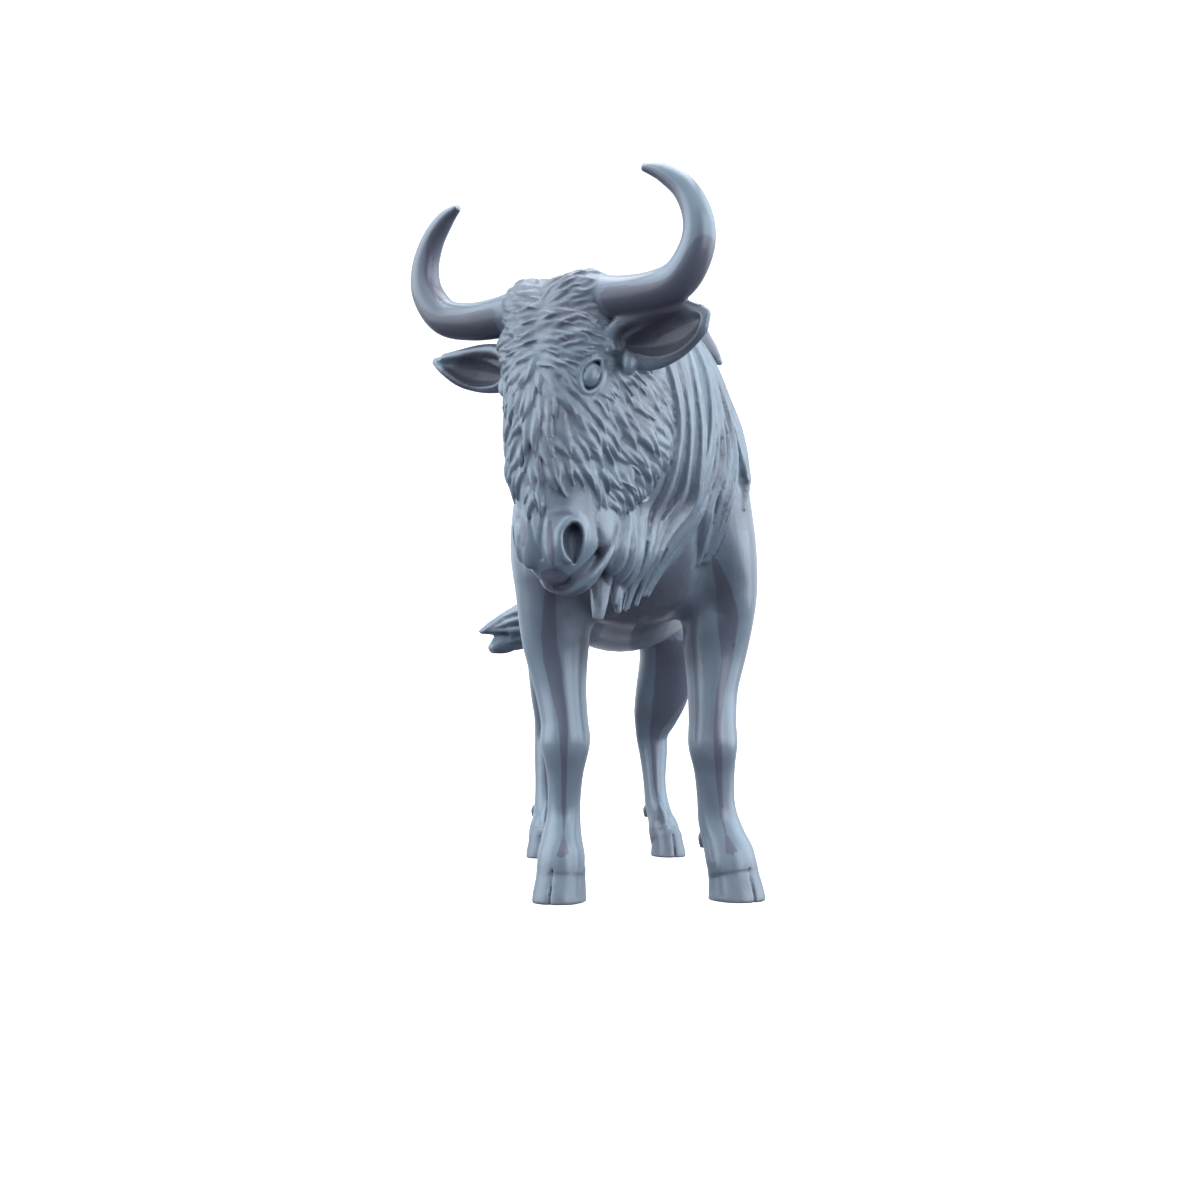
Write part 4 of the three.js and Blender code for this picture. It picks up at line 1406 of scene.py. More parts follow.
# %% The tree that turns paths into ropes
def rope_tree():
    """Sweep a circle along each path, as wide as the path's `girth`."""
    sizes = {"Sides": "NodeSocketInt", "Fullness": "NodeSocketFloat"}
    tree, book, paths = hair_tree("ropes of hair", sizes)
    girth = book.node("GeometryNodeInputNamedAttribute", {"data_type": "FLOAT"}, {"Name": "girth"})
    circle = {"Resolution": book.output_of(paths, "Sides"), "Radius": 1.0}
    circle = book.node("GeometryNodeCurvePrimitiveCircle", None, circle)
    ropes = book.node("GeometryNodeMeshToCurve", None, {"Mesh": paths})
    ropes = book.node(
        "GeometryNodeCurveToMesh",
        None,
        {
            "Curve": ropes,
            "Profile Curve": circle,
            "Scale": girth * book.output_of(paths, "Fullness"),
            "Fill Caps": True,
        },
    )
    ropes = book.node("GeometryNodeRealizeInstances", None, {"Geometry": ropes})
    ropes = book.node("GeometryNodeSetMaterial", None, {"Geometry": ropes, "Material": resin})
    book.node("NodeGroupOutput", None, {"Geometry": ropes})
    return tree


def ropes_along(paths, tree, sides=8):
    """The tubes, as points and triangles, round (points, girths) paths."""
    starts = np.cumsum([0] + [len(points) for points, _ in paths])
    edges = [(a, a + 1) for start, stop in zip(starts, starts[1:]) for a in range(start, stop - 1)]
    mesh = bpy.data.meshes.new("paths")
    mesh.from_pydata(np.vstack([points for points, _ in paths]).tolist(), edges, [])
    ground = bpy.data.objects.new("paths", mesh)
    bpy.context.scene.collection.objects.link(ground)
    mark(ground, girth=np.concatenate([girths for _, girths in paths]))
    tubes = grown(ground, tree, {"Sides": sides, "Fullness": 1.0})
    bpy.data.objects.remove(ground)
    return tubes


def taper(s, root=0.5, tip=0.3):
    """The girth of a rope along it, as a share of its widest."""
    swelling = root + (1 - root) * smooth_step(0, 0.3, s)
    thinning = tip + (1 - tip) * (1 - smooth_step(0.72, 1.02, s))
    return swelling * thinning


# %% Guides of the neck's hair
ROPE_POINTS = 40
CREST_ANGLE = 87
NECK_GUIDES = [
    # on the left side, from the cheek to the withers: the place on the crest, then points down to the tip
    (
        0.86,
        [(-6.5, -37.5, 116), (-4.7, -34.7, 92.5), (-8.4, -35.2, 86.1), (-11.1, -36.5, 79.2),
         (-12.2, -35.5, 74.1), (-12.6, -33, 69)],
    ),
    (
        0.8,
        [(-3.8, -36.5, 116), (-3.6, -36.4, 100.6), (-5.2, -35.1, 92.5), (-7.2, -34.1, 85.2),
         (-9.4, -33.8, 78.6), (-10.9, -31, 72), (-11, -28.5, 66.5)],
    ),
    (
        0.74,
        [(-1.6, -35, 118), (-0.9, -35.4, 109.3), (0.4, -32.9, 101.5), (-1.2, -31.8, 93.1),
         (-4.3, -30.7, 84.6), (-7.4, -30, 76.9), (-9.3, -27.2, 70.2), (-9.7, -27, 65.2)],
    ),
    (
        0.64,
        [(0.7, -31.1, 124.7), (4, -30.6, 116.2), (5.5, -30.5, 106.4), (4.4, -28.9, 98),
         (2.1, -26.6, 89.6), (-2.2, -25.8, 81), (-5.2, -24.5, 73.4), (-7.2, -22.5, 66.1)],
    ),
    (
        0.56,
        [(4.4, -23.8, 126.8), (7.7, -27.6, 115.9), (9, -26, 105.2), (8.2, -23.5, 95.7),
         (6.6, -19.6, 89.6), (1.6, -21.6, 82), (-2.2, -21.5, 75.9), (-5.2, -19.5, 66.8)],
    ),
    (
        0.46,
        [(8.1, -17, 129.8), (12.2, -18, 118.2), (13.1, -18.6, 106.7), (12.1, -19.1, 96.5),
         (9.4, -18.6, 89.4), (5, -18.2, 82.6), (1.1, -17, 78.1), (-3.3, -16, 69.4)],
    ),
    (
        0.36,
        [(11, -14.4, 127.1), (15.1, -15.5, 114.3), (17.1, -11, 103.7), (16, -11.5, 92.1),
         (14.6, -9, 83.2), (13, -7.1, 77.7)],
    ),
    (
        0.22,
        [(9, -2, 132), (15, -2, 121), (17.5, 0, 111), (18.5, -1, 100), (18, -3, 91)],
    ),
]
neck = Loft(NECK)
along_rope = np.linspace(0, 1, ROPE_POINTS)
guides = []
for place, knots in NECK_GUIDES:
    root = neck.skin(place, CREST_ANGLE)
    guides.append(curve_at([root, *knots], along_rope))
guides = np.array(guides)
gaps = np.linalg.norm(np.diff(guides, axis=0), axis=2).max(axis=1)
print("widest gaps between the guides, mm:", gaps.round(1))

# %% Paths between the guides
ROPES = 13  # on each side of the neck
ROPE_SUNK = 0.7  # how deep the middle of a rope lies at its root, while halfway down it rides on the skin
GATHERING = 0.75  # how far the tips of the ropes close up into pointed clumps
MIRROR_POINT = (-8, -16)
MIRROR_NORMAL = np.array([0.946, -0.325, 0])  # out of the neck's middle plane, to the animal's left


def between_guides(place):
    """A path between two neighbouring guides that closes up with the nearer one towards its tip."""
    first = min(int(place), len(guides) - 2)
    share = place - first
    share = share + (round(share) - share) * GATHERING * smooth_step(0.55, 1, along_rope)[:, None]
    return guides[first] + (guides[first + 1] - guides[first]) * share


def to_other_side(points):
    """Points mirrored in the middle plane of the neck."""
    beyond = (points - (*MIRROR_POINT, 0)) @ MIRROR_NORMAL
    return points - 2 * beyond[:, None] * MIRROR_NORMAL


def laid_rope(points, hangs, lift=-ROPE_SUNK):
    """A path laid onto the body, but for its end if that hangs."""
    free = smooth_step(0.8, 0.92, along_rope)[:, None] if hangs else 0
    lift = lift + ROPE_SUNK * smooth_step(0.35, 0.75, along_rope)
    return body.settle(points, lift) * (1 - free) + points * free


spread = np.interp(np.linspace(0, gaps.sum(), ROPES), np.cumsum([0, *gaps]), np.arange(len(guides)))
print("ropes lie at these places between the guides:", spread.round(2))

# %% Lay the ropes of the neck
ROPE_GIRTH = 1.9
GATHERED = 5.4  # guides beyond this one end on the shoulder
RIGHT_REACH = 0.76  # the right side has no ropes over the shoulder
STRAND_GIRTH = 0.42  # radius of the thin strands on the back of a rope
STRAND_RIDE = 0.95  # their distance from its middle, as a share of its girth
chance = np.random.default_rng(11)
paths = []
for side, reach in ((1, 1.0), (-1, RIGHT_REACH)):
    for place in spread * reach:
        knots = between_guides(place) + chance.normal(0, 0.25, 3)
        if side == -1:
            knots = to_other_side(knots)
        laid = laid_rope(knots, place < GATHERED)
        girth = ROPE_GIRTH * chance.uniform(0.8, 1.12) * taper(along_rope)
        paths.append((laid, girth))
        out = body.uphill(laid)
        beside = unit(np.cross(unit(np.gradient(laid, axis=0)), out))
        for strand in (-1, 1):
            turn = strand * chance.uniform(0.3, 0.9) + 0.35 * np.sin(along_rope * 7 + chance.uniform(0, 6))
            turn = turn[:, None]
            round_rope = beside * np.sin(turn) + out * np.cos(turn)
            place = laid + round_rope * girth[:, None] * STRAND_RIDE
            paths.append((place, STRAND_GIRTH * taper(along_rope)))
print("ropes on the neck:", len(paths))

# %% [markdown]
# ## Mane, beard and tail
# A row of short locks falls to the left from the crest of the neck. The beard under the chin ends in one
# pointed lock with a parting down its front. The tuft of the tail is combed into two points. The locks are
# ropes as well, and start on the skin of the neck's and the tail's own lofts, so they follow a change there.

# %% Lay the mane
MANE_LOCKS = 16
MANE_FIRST = 0.08  # along the neck
MANE_SPAN = 0.84
MANE_ROOT = 104  # degrees round the neck, just over the crest to the right
MANE_TIP = (48, 62)
MANE_GIRTH = 1.7
KNOTS = 5
for k in range(MANE_LOCKS):
    t = MANE_FIRST + MANE_SPAN * k / (MANE_LOCKS - 1)
    angles = np.linspace(MANE_ROOT, chance.uniform(*MANE_TIP), KNOTS)
    sway = 0.01 * np.sin(np.arange(KNOTS) * 2.0 + k)
    knots = neck.skin(t + np.linspace(0, -0.03, KNOTS) + sway, angles)
    laid = body.settle(curve_at(knots, along_rope), 0.0)
    paths.append((laid, MANE_GIRTH * chance.uniform(0.8, 1.1) * taper(along_rope, 0.7, 0.2)))
print("locks of the mane:", MANE_LOCKS)

# %% Lay the tuft of the tail
TAIL_LOCKS = 11
TAIL_GIRTH = 1.2
TAIL_SUNK = 0.9
TUFT_ROOTS = (0.5, 0.93)  # along the tail
TUFT_TWIST = 35  # degrees that a lock turns round the tail
UPPER_TIP = (-38.4, 135, 70.4)
LOWER_TIP = (-35, 136, 65)
tail = Loft(TAIL)
for k in range(TAIL_LOCKS):
    a = 360 * k / TAIL_LOCKS
    upper = math.sin(math.radians(a)) > -0.2
    tip = np.array(UPPER_TIP if upper else LOWER_TIP)
    ring = tail.skin(np.linspace(*TUFT_ROOTS, KNOTS), a + np.linspace(0, TUFT_TWIST, KNOTS))
    knots = np.vstack([ring, tip + chance.normal(0, 0.4, 3)])
    laid = laid_rope(curve_at(knots, along_rope), True, -TAIL_SUNK)
    paths.append((laid, TAIL_GIRTH * chance.uniform(0.8, 1.2) * taper(along_rope, 0.3, 0.3)))
print("locks of the tuft:", TAIL_LOCKS)

# %% Press on the beard and all ropes
BEARD = [
    [-12.6, -30, 80, 3.4, 3.2],
    [-13.4, -31.5, 75, 3, 2.6],
    [-13.9, -32.4, 70.5, 2.3, 1.9],
    [-14.3, -33, 66, 1.7, 1.5],
    [-14.5, -33, 63.2, 1.1, 1],
]
BEARD_PARTING = [
    [-13.8, -34.6, 76, 0.3],
    [-14.3, -34.8, 70, 0.3],
    [-14.6, -34.4, 64.5, 0.2],
]
BEARD_STUB = [
    [-10, -27.5, 76, 1.8],
    [-10.2, -28, 70, 1.5],
    [-9.8, -27.6, 65, 0.6],
]
BEARD_SOFT = 0.8
ROPE_SOFT = 0.4
PARTING_SOFT = 0.3
body.add(Loft(BEARD).shell(24, 48), BEARD_SOFT)
body.add(Loft(BEARD_STUB).shell(16, 24), ROPE_SOFT)
ropes = ropes_along(paths, rope_tree())
body.add(ropes, ROPE_SOFT)
body.carve(Loft(BEARD_PARTING).shell(12, 24), PARTING_SOFT)
print("all ropes:", len(paths), "triangles:", len(ropes[1]))

# %% [markdown]
# ## From clay to one skin
# The soles are cut off flat where the casting stands. The body's clay is coarser than the head's, and one
# grid fine enough for both would need over a gigabyte. So each is turned into a closed skin of its own, and
# a Boolean union joins them inside the neck, as a caster joins two waxes. Decimate then thins the skin most
# where it is flat, and crumbs of clay that stayed loose inside are dropped.

# %% Two closed skins
SOLE_HEIGHT = 0.01  # millimetres over the ground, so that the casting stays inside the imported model's box


def cut_below(clay, ground):
    """Cut the clay off flat at a height."""
    height = (clay.low[2] + np.arange(clay.field.shape[2])) * clay.cell
    clay.field = np.maximum(clay.field, (ground - height).astype(np.float32))


cut_below(body, SOLE_HEIGHT)
body_shell = body.shell()
head_points, head_faces = head.shell()
figure = mesh_of("wildebeest_casting", body_shell)
crown = mesh_of("crown", (head_to_ground(head_points), head_faces))
print("faces of the body and the head:", len(body_shell[1]), len(head_faces))


# %% One skin
def applied(piece, kind, **settings):
    """Run one modifier on an object and keep its result."""
    modifier = piece.modifiers.new(kind, kind)
    for name, value in settings.items():
        setattr(modifier, name, value)
    depsgraph = bpy.context.evaluated_depsgraph_get()
    mesh = bpy.data.meshes.new_from_object(piece.evaluated_get(depsgraph))
    piece.modifiers.remove(modifier)
    piece.data = mesh


def drop_crumbs(piece):
    """Keep the largest closed skin of an object, and drop the crumbs that lie loose inside it."""
    mesh = bmesh.new()
    mesh.from_mesh(piece.data)
    left = set(mesh.verts)
    skins = []
    while left:
        skin = [left.pop()]
        for vertex in skin:  # the list grows while it is walked
            for edge in vertex.link_edges:
                other = edge.other_vert(vertex)
                if other in left:
                    left.remove(other)
                    skin.append(other)
        skins.append(skin)
    skins.sort(key=len)
    crumbs = [vertex for skin in skins[:-1] for vertex in skin]
    bmesh.ops.delete(mesh, geom=crumbs, context="VERTS")
    mesh.to_mesh(piece.data)
    mesh.free()
    print("crumbs dropped:", len(skins) - 1)


def triangle_count(mesh):
    """How many triangles the faces of a mesh make."""
    return len(mesh.loops) - 2 * len(mesh.polygons)


TRIANGLES = 198_000
applied(figure, "BOOLEAN", operation="UNION", solver="MANIFOLD", object=crown)
bpy.data.objects.remove(crown)
triangles = triangle_count(figure.data)
applied(figure, "DECIMATE", ratio=TRIANGLES / triangles)
drop_crumbs(figure)
print("triangles before and after thinning:", triangles, triangle_count(figure.data))

# %% [markdown]
# ## Where shade is painted
# The colour is darkened with painted shade in the grooves of the hair and in hollows, and paled with a
# painted highlight on the crests. Both are measured on the finished skin instead of painted by hand. A groove
# is a place that lies below the smoothed skin. A hollow is a place where the casting itself hides much of the
# sky, which rays find out.


# %% Measure the grooves
GROOVE_ROUNDS = 6
EASING = 0.6  # the share of the way to its neighbours' mean that a vertex moves in a round


def smoothed(values, edges, rounds):
    """Values on vertices after each has moved a few times towards the mean of its neighbours."""
    ends = np.concatenate([edges, edges[:, ::-1]])
    count = np.maximum(np.bincount(ends[:, 0], minlength=len(values)), 1)
    for _ in range(rounds):
        sums = [np.bincount(ends[:, 0], values[ends[:, 1], k], len(values)) for k in range(values.shape[1])]
        values = (1 - EASING) * values + EASING * np.stack(sums, -1) / count[:, None]
    return values


def depth_in(points, normals, edges, rounds):
    """How deep each point lies under the smoothed surface, in millimetres, negative on crests."""
    return np.sum((smoothed(points, edges, rounds) - points) * normals, axis=1)


points = np.empty(len(figure.data.vertices) * 3, np.float32)
figure.data.vertices.foreach_get("co", points)
points = points.reshape(-1, 3).astype(float)
edges = np.empty(len(figure.data.edges) * 2, np.int32)
figure.data.edges.foreach_get("vertices", edges)
edges = edges.reshape(-1, 2)
outward = normals_of(figure)
groove = depth_in(points, outward, edges, GROOVE_ROUNDS)
groove = smoothed(groove[:, None], edges, 1)[:, 0]
print("depth of the grooves, mm:", np.percentile(groove, [1, 10, 50, 90, 99]).round(3))

# %% Measure the shelter
SHELTER_RAYS = 12
SHELTER_REACH = 45.0
SHELTER_ROUNDS = 3
SHELTER_START = 0.15  # how far over the skin a ray starts


def shelter_of(piece, points, normals):
    """The share of the sky above each point that the piece itself hides."""
    tree = BVHTree.FromObject(piece, bpy.context.evaluated_depsgraph_get())
    chance = np.random.default_rng(3)
    hidden = np.zeros(len(points))
    starts = [Vector(start) for start in points + normals * SHELTER_START]
    for _ in range(SHELTER_RAYS):
        towards = unit(chance.normal(size=points.shape))
        # A random way plus the way out gives more rays near the way out than along the skin.
        towards = unit(towards + normals * 1.02)
        hidden += [
            tree.ray_cast(start, direction, SHELTER_REACH)[0] is not None
            for start, direction in zip(starts, towards.tolist())
        ]
    return hidden / SHELTER_RAYS


shelter = smoothed(shelter_of(figure, points, outward)[:, None], edges, SHELTER_ROUNDS)[:, 0]
print("hidden share of the sky:", np.percentile(shelter, [10, 50, 90, 99]).round(2))

# %% [markdown]
# ## Comb marks
# A comb has left lines finer than the locks. A noise that is stretched along the hair gives such
# lines, but the hair runs another way at every place. So each vertex carries its place across and along the
# nearest lock or rope as the attribute `combed`, and the noise reads that.

# %% Find the hair
LOCK_STEPS = (0, 2, 4)  # places along a lock of the face


def comb_guides():
    """Places on the hair, the way it runs there, the way across it, and the length run so far."""
    here = head_to_ground(lock_roots)
    run = lock_flow @ HEAD_ROTATION.T
    out = lock_out @ HEAD_ROTATION.T
    beside = np.cross(out, run)
    guides = [(here + run * step, run, beside, np.full(len(here), step)) for step in LOCK_STEPS]
    for laid, _ in paths:
        run = unit(np.gradient(laid, axis=0))
        length = np.concatenate([[0], np.cumsum(np.linalg.norm(np.diff(laid, axis=0), axis=1))])
        guides.append((laid, run, unit(np.cross(body.uphill(laid), run)), length))
    return [np.concatenate(parts) for parts in zip(*guides)]


places, runs, beside, lengths = comb_guides()
print("places on the hair:", len(places))

# %% Comb the surface
HAIR_NEAR = 1.6  # from a lock or a rope, where the comb marks begin to fade
HAIR_FAR = 3.4
ALONG_SHARE = 0.1  # how much slower the comb marks change along the hair than across it
SHIFTS = 97  # neighbouring guides read other places of the noise, in so many steps
SHIFT = 0.37
BELLY_LOW = (52, 64)
BELLY_HIGH = (100, 120)
BELLY_HAIR = 0.4
HORN_SMOOTH = (14.5, 1, 7.4)  # a horn has no comb marks round this place
tree = KDTree(len(places))
for number, place in enumerate(places):
    tree.insert(place, number)
tree.balance()
nearest = [tree.find(point)[1:] for point in points]
closest = np.array([number for number, _ in nearest])
hair = 1 - smooth_step(HAIR_NEAR, HAIR_FAR, np.array([distance for _, distance in nearest]))
apart = points - places[closest]
combed = np.stack(
    [
        np.sum(apart * beside[closest], axis=1),
        (np.sum(apart * runs[closest], axis=1) + lengths[closest]) * ALONG_SHARE,
        closest % SHIFTS * SHIFT,
    ],
    -1,
)
x, y, z = points.T
# The bare sides and the belly have faint lines that run round the trunk.
belly = smooth_step(*BELLY_LOW, z) * (1 - smooth_step(*BELLY_HIGH, z)) * (1 - hair) * BELLY_HAIR
ringed = np.stack([y + 0.45 * z, 0.06 * x, np.zeros_like(x)], -1)
combed = np.where((hair > 0.02)[:, None], combed, ringed)
hair = np.maximum(hair, belly)
in_head = (points - HEAD_POLL) @ HEAD_ROTATION
folded = np.abs(in_head) * (1, 0, 0) + in_head * (0, 1, 1)
hair *= near(folded, EYE, 3, 4.4)
hair *= near(folded, HORN_SMOOTH, 4.6, 6)
print("share of the skin with hair:", round(float(np.mean(hair > 0.5)), 2))

# %% [markdown]
# ## Where shade and reflections are painted
# Shade is painted into the ears and the mouth, on the breast, the forehead and the hooves, and under the
# horns.
# Dark reflections are painted as bands down the front of the legs and as patches on the nose, the lips and
# the horns, and a darker patch lies on the mane. Each is an ellipsoid or a band in space, and a vertex inside
# it gets a share of the painted colour. The finish roughens the edges of the bands with noise.

# %% Where shade is painted
EAR_HOLLOW_SHADE = [
    # painted shade in the ear hollows: centre in the head's own frame, radii
    ((23.5, 0.6, 16.2), (11, 4.8, 5.2)),
    ((-22.5, 0.6, 18), (11, 4.8, 4.4)),
]
BREAST_SHADE = [
    # painted shade on the breast under the head and under the brisket: centre in the ground frame, radii,
    # where the edge starts and ends, strength
    ((-4.6, -10, 75), (15.2, 22, 19), 0.84, 1.02, 0.75),
    ((-2, 8, 59), (18, 26, 9), 0.6, 1.1, 0.7),
]
FACE_PATCHES = [
    # painted dark reflections on the nose and the lips: centre in the head's own frame, radii
    ((3.2, 5.4, 57.5), (1, 3, 5.5)),
    ((-3.5, 5, 55), (1.4, 3, 4)),
    ((1.6, 3, 64), (4.2, 4, 2)),
    ((2.5, -3.5, 66), (5, 2, 1.6)),
]
FOREHEAD_SHADE = ((0, 6, 7), (15, 12, 15), 0.3)  # painted shade on the forehead: centre in the head's own frame, radii, strength
MANE_PATCH = ((14, 3.4, 131.6), (6, 5, 4))  # a darker patch on the mane: centre in the ground frame, radii
HORN_REGION = ((25, 3, -3), 26)  # a ball in the head's own frame that holds a horn
# painted shade under the horns, stronger at their bases
HORN_UNDERSIDE_SHADE = 0.4
HORN_BASE = (19, 30)  # from the middle of the head, where the darker base of a horn fades
HORN_BASE_SHADE = 0.35
HORN_INSIDE = (24, 30)
HORN_INSIDE_SHADE = 0.8
# painted shade on the hooves, below their tops
HOOF_TOP = (8.6, 9.4)
HOOF_SHADE = 0.3
GAP_POINTS = 24
MOUTH_GAP_SHADE = (0.9, 1.7)  # from the gap of the mouth, where its painted shade fades
print("brushed places on the head and the breast:", len(EAR_HOLLOW_SHADE) + len(BREAST_SHADE) + len(FACE_PATCHES) + 1)

# %% Bands of painted dark reflection down the legs
FRONT_RIGHT_BAND = [
    # height, place across the front of the leg and half width, as shares of half the leg
    (11, 0, 0.28),
    (16, 0, 0),
    (22, -0.1, 0.12),
    (40, -0.12, 0.2),
    (56, -0.25, 0.3),
    (76, -0.2, 0.1),
]
FRONT_LEFT_BAND = [
    (11, 0, 0.28),
    (16, 0, 0),
    (22, 0.1, 0.1),
    (40, 0, 0.14),
    (56, 0.25, 0.2),
    (66, 0.1, 0.24),
    (80, -0.35, 0.05),
]
HIND_LEFT_BAND = [
    (10, -0.2, 0.3),
    (16, 0, 0),
    (22, -0.1, 0.2),
    (38, 0, 0.3),
    (50, 0.3, 0.75),
    (66, 0.3, 0.9),
]
HIND_RIGHT_BAND = [
    (10, 0.2, 0.4),
    (16, 0, 0),
    (22, 0.1, 0.3),
    (40, -0.1, 0.45),
    (52, -0.1, 0.4),
    (62, 0, 0),
]
LEG_BANDS = [
    (FRONT_RIGHT, FRONT_RIGHT_BAND),
    (FRONT_LEFT, FRONT_LEFT_BAND),
    (HIND_LEFT, HIND_LEFT_BAND),
    (HIND_RIGHT, HIND_RIGHT_BAND),
]
BAND_EDGE = 0.22
BAND_REACH = 1.6  # how far across a leg a band may lie
BAND_DEPTH = 18  # a band lies no further than this in front of the middle of a leg
print("heights of the bands, mm:", [rows[-1][0] - rows[0][0] for _, rows in LEG_BANDS])


# %% Shapes of the painted patches
def inside(places, centre, radii, low, high):
    """1 well inside an ellipsoid, fading to 0 between two shares of its radii."""
    return 1 - smooth_step(low, high, np.linalg.norm((places - centre) / radii, axis=1))


def band_on(leg, rows):
    """1 in the middle of the band of painted dark reflection on the front of a leg, 0.5 at its edges."""
    x, y, z = points.T
    heights, middles, halves = np.array(rows, float).T
    stations = np.array(leg)[::-1]
    centre_x, centre_y, half = (np.interp(z, stations[:, 2], stations[:, k]) for k in (0, 1, 3))
    across = (x - centre_x) / half - np.interp(z, heights, middles)
    within = np.interp(z, heights, halves) - np.abs(across)
    band = np.clip(0.5 + 0.5 * within / BAND_EDGE, 0, 1)
    band *= smooth_step(0, 0.35, -outward[:, 1]) * (np.abs(across) < BAND_REACH)
    return band * (y < centre_y) * (y > centre_y - BAND_DEPTH) * (z > heights[0]) * (z < heights[-1])


# %% Paint shade into the ears, the breast and the hooves
washed = np.zeros(len(points))
for centre, radii in EAR_HOLLOW_SHADE:
    washed = np.maximum(washed, inside(in_head, centre, radii, 0.8, 1))
in_x, _, in_z = in_head.T
lengthwise = np.stack([in_z + 0.25 * in_x, in_x * ALONG_SHARE, np.zeros(len(points))], -1)
combed = np.where((washed > 0.1)[:, None], lengthwise, combed)
hair = np.maximum(hair, washed)
bare = 1 - smooth_step(0.5, 0.9, hair)
for centre, radii, low, high, strength in BREAST_SHADE:
    washed = np.maximum(washed, inside(points, centre, radii, low, high) * bare * strength)
washed = np.maximum(washed, (1 - smooth_step(*HOOF_TOP, z)) * HOOF_SHADE)
print("share of the skin with full wash:", round(float(np.mean(washed > 0.5)), 3))

# %% Paint reflections and shade on the legs, the horns, the face and the mane
brushed = np.zeros(len(points))
for leg, rows in LEG_BANDS:
    brushed = np.maximum(brushed, band_on(leg, rows))
away, out_of_face, down_face = folded.T
head_out = outward @ HEAD_ROTATION
# The horns get painted shade and dark reflection on their undersides, and painted shade on their inner sides.
on_horn = smooth_step(12.5, 15, away) * (1 - smooth_step(11, 13, down_face - 0.4 * np.abs(out_of_face)))
on_horn *= (np.linalg.norm(folded - HORN_REGION[0], axis=1) < HORN_REGION[1]) * (out_of_face > -8)
at_base = HORN_BASE_SHADE * (1 - smooth_step(*HORN_BASE, away))
underside = smooth_step(-0.15, 0.55, head_out[:, 2] + at_base)
inner = smooth_step(0.1, 0.9, -head_out[:, 0] * np.sign(in_x)) * smooth_step(*HORN_INSIDE, away)
brushed = np.maximum(brushed, on_horn * np.maximum(underside, inner * HORN_INSIDE_SHADE))
washed = np.maximum(washed, on_horn * underside * (HORN_UNDERSIDE_SHADE + at_base))
centre, radii, strength = FOREHEAD_SHADE
washed = np.maximum(washed, inside(in_head, centre, radii, 0.4, 1.2) * strength)
for centre, radii in FACE_PATCHES:
    brushed = np.maximum(brushed, inside(in_head, centre, radii, 0.5, 1.3))
brushed = np.maximum(brushed, inside(points, *MANE_PATCH, 0.6, 1.2))
print("share of the skin under bands and patches:", round(float(np.mean(brushed > 0.5)), 3))

# %% Paint shade into the gap of the mouth
lip = KDTree(2 * GAP_POINTS)
gap = np.array(curve_at(np.array(MOUTH)[:, :3], np.linspace(0, 1, GAP_POINTS)))
for number, place in enumerate(np.vstack([gap, gap * (-1, 1, 1)])):
    lip.insert(place, number)
lip.balance()
to_gap = np.array([lip.find(place)[2] for place in in_head])
washed = np.maximum(washed, 1 - smooth_step(*MOUTH_GAP_SHADE, to_gap))
mark(figure, groove=groove, shelter=shelter, combed=combed, hair=hair, washed=washed, brushed=brushed)
print("points that carry the finish:", len(points))

# %% [markdown]
# ## Into the shared frame
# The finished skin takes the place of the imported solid. Its points are moved, not the object, so the object
# stays at the origin, where the finish reads its coordinates.

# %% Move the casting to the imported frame
points = (points + GROUND_TO_FRAME) * METRE
figure.data.vertices.foreach_set("co", points.astype(np.float32).ravel())
figure.data.materials.clear()
figure.data.materials.append(resin)
figure.data.shade_smooth()
figure.data.update()
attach(figure, "root")
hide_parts("wildebeest")
print("height of the horn tips, mm:", round(float(points[:, 2].max() / METRE), 1))

# %% [markdown]
# ## Camera, floor and light
# The photo is taken from low in front, a little to the animal's right. Its lens and place were found by
# matching the hooves, the horn tips and the nose. The figure stands in a light tent: a pale round floor that
# curves up into a wall. Two large windows stand at its sides, so the satin skin shows bright edges and a
# darker front, and a weaker fill keeps the breast readable. A flat grey world would leave the sides of the
# casting dull, so the room is bright all round, but dim below the table and behind the camera.

# %% Camera
CAMERA_PLACE = (-39.7, -334.8, 42.5)  # in the ground frame, mm
CAMERA_LIFT = 4.7  # degrees that it looks up
CAMERA_TURN = -4.85  # degrees from looking along y
CAMERA_LENS = 43.5
camera_data = bpy.data.cameras.new("camera")
camera_data.lens = CAMERA_LENS
camera_data.sensor_width = 36.0
camera_data.clip_start = 0.01
camera = bpy.data.objects.new("camera", camera_data)
bpy.context.scene.collection.objects.link(camera)
camera.location = (np.array(CAMERA_PLACE) + GROUND_TO_FRAME) * METRE
camera.rotation_euler = (math.radians(90 + CAMERA_LIFT), 0, math.radians(CAMERA_TURN))
bpy.context.scene.camera = camera
print("camera, in metres:", [round(v, 4) for v in camera.location])

# %% Floor
PAPER_COLOUR = (0.86, 0.86, 0.87, 1)
PAPER_GLOW = 0.8  # a light tent glows a little all over
TENT_RADIUS = 1.6
TENT_HEIGHT = 2.4
TENT_BEND = 0.6
TENT_SIDES = 64


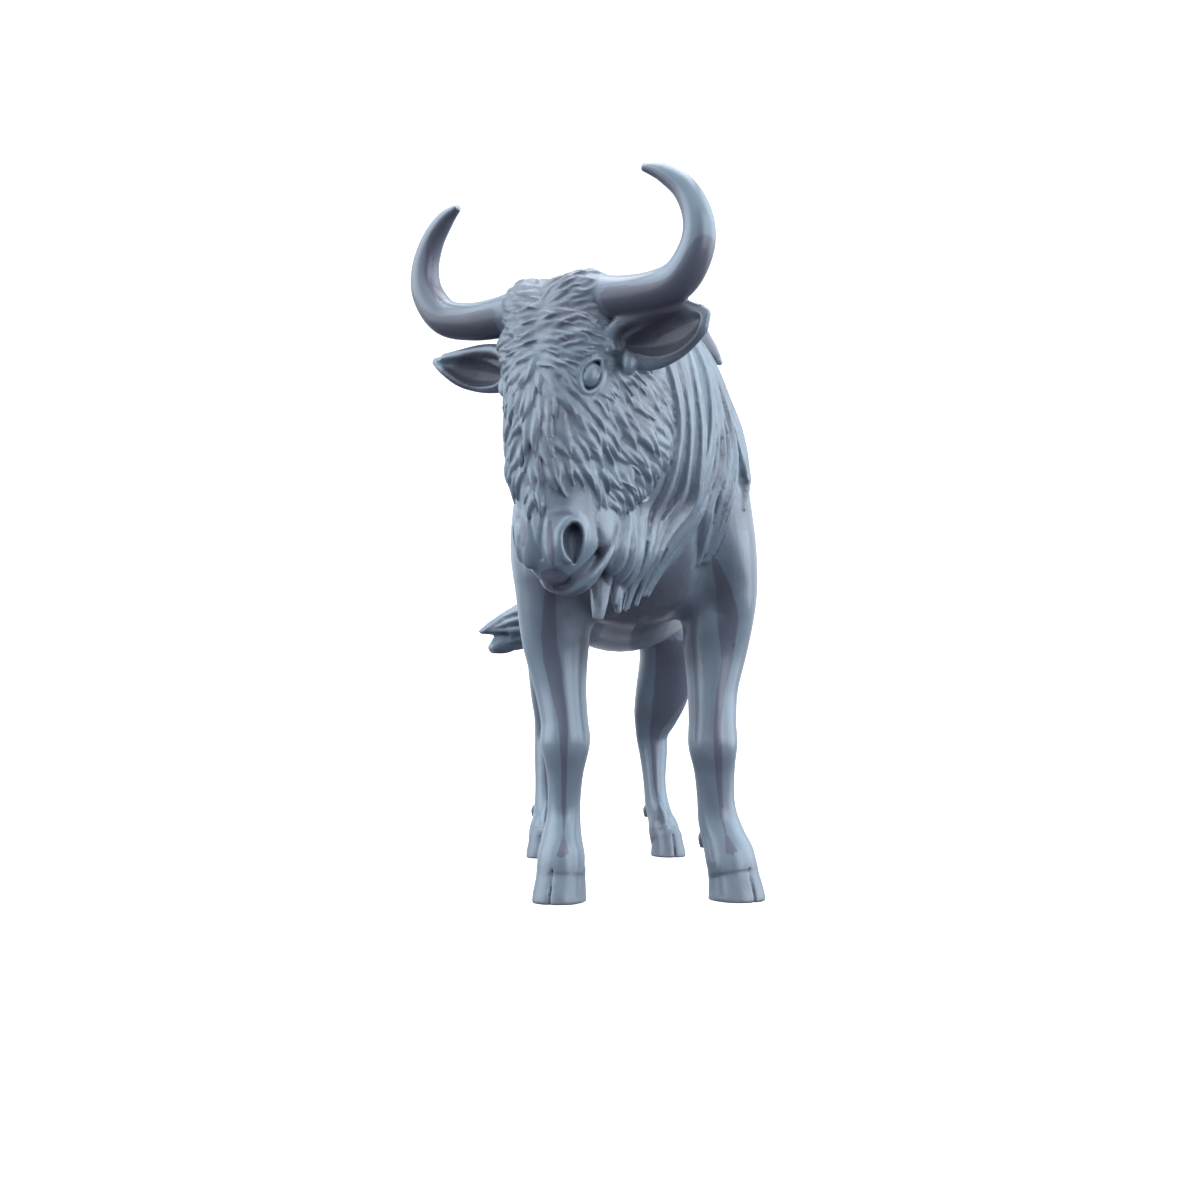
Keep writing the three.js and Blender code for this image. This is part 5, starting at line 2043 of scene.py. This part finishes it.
def light_tent():
    """A round pale floor that curves up into a wall."""
    inner = TENT_RADIUS - TENT_BEND
    bend = np.linspace(0, math.pi / 2, 9)
    profile = [(inner + TENT_BEND * math.sin(a), TENT_BEND * (1 - math.cos(a))) for a in bend]
    profile.append((TENT_RADIUS, TENT_HEIGHT))
    around = np.linspace(0, 2 * math.pi, TENT_SIDES, endpoint=False)
    points = [(r * math.cos(a), r * math.sin(a), z) for r, z in profile for a in around]
    faces = [tuple(range(TENT_SIDES))]
    for ring in range(len(profile) - 1):
        low = ring * TENT_SIDES
        high = low + TENT_SIDES
        for k in range(TENT_SIDES):
            after = (k + 1) % TENT_SIDES
            faces.append((low + after, low + k, high + k, high + after))
    mesh = bpy.data.meshes.new("floor")
    mesh.from_pydata(points, [], faces)
    mesh.shade_smooth()
    floor = bpy.data.objects.new("floor", mesh)
    bpy.context.scene.collection.objects.link(floor)
    paper = bpy.data.materials.new("pale paper")
    paper.use_nodes = True
    shader = paper.node_tree.nodes["Principled BSDF"]
    shader.inputs["Base Color"].default_value = PAPER_COLOUR
    shader.inputs["Roughness"].default_value = 0.9
    shader.inputs["Emission Color"].default_value = PAPER_COLOUR
    shader.inputs["Emission Strength"].default_value = PAPER_GLOW
    mesh.materials.append(paper)
    return floor


floor = light_tent()
# The tent is only a backdrop: it throws no light and no reflection onto the casting.
floor.visible_diffuse = False
floor.visible_glossy = False
floor.visible_shadow = False
print("faces of the tent:", len(floor.data.polygons))

# %% Lights
MIDDLE = (0, 0, 0.08)
WINDOW_TURN = math.radians(88)  # between the camera's way and each window
WINDOW_AWAY = 0.85
WINDOW_ACROSS = WINDOW_AWAY * math.sin(WINDOW_TURN)
WINDOW_FORWARD = -WINDOW_AWAY * math.cos(WINDOW_TURN)
WINDOW_SIZE = (0.9, 1.2)
WINDOW_COLOUR = (0.9, 0.965, 1)
LIGHTS = [
    # name, place, width and height, in metres, watts and colour
    ("left window", (-WINDOW_ACROSS, WINDOW_FORWARD, 0.4), WINDOW_SIZE, 7, WINDOW_COLOUR),
    ("right window", (WINDOW_ACROSS, WINDOW_FORWARD, 0.4), WINDOW_SIZE, 7, WINDOW_COLOUR),
    ("fill", (0.55, -0.72, 0.2), (0.6, 0.7), 3, (0.95, 0.98, 1)),
    ("top", (0, 0, 0.95), (0.9, 0.9), 8, (1, 1, 1)),
]
for name, place, size, watts, colour in LIGHTS:
    data = bpy.data.lights.new(name, "AREA")
    data.shape = "RECTANGLE"
    data.size, data.size_y = size
    data.energy = watts
    data.color = colour
    light = bpy.data.objects.new(name, data)
    light.location = place
    light.rotation_euler = (Vector(MIDDLE) - Vector(place)).to_track_quat("-Z", "Y").to_euler()
    bpy.context.scene.collection.objects.link(light)
print("soft lights:", len(LIGHTS))

# %% Room
ROOM_BRIGHT = (0.92, 1.0, 1.1, 1)
ROOM_DIM = (0.13, 0.125, 0.17, 1)
ROOM_BEHIND = {"From Min": -0.97, "From Max": -0.85}  # where the dim part behind the camera ends
ROOM_BELOW = {"From Min": -0.3, "From Max": 0.05}  # where the dim part below the table ends
world = bpy.data.worlds.new("room")
world.use_nodes = True
book = Book(world.node_tree)
way = book.node("ShaderNodeTexCoord", None, None, "Generated")
forwards = book.node("ShaderNodeSeparateXYZ", None, {0: way}, "Y")
upwards = book.output_of(forwards, "Z")
ahead = book.node("ShaderNodeMapRange", None, {"Value": forwards, **ROOM_BEHIND})
above = book.node("ShaderNodeMapRange", None, {"Value": upwards, **ROOM_BELOW})
shades = {"Factor": ahead * above, "A": ROOM_DIM, "B": ROOM_BRIGHT}
room = book.node("ShaderNodeMix", {"data_type": "RGBA"}, shades, "Result")
world.node_tree.links.new(room.socket, world.node_tree.nodes["Background"].inputs["Color"])
bpy.context.scene.world = world
bpy.context.scene.view_settings.view_transform = "Standard"
print("nodes of the room:", len(world.node_tree.nodes))
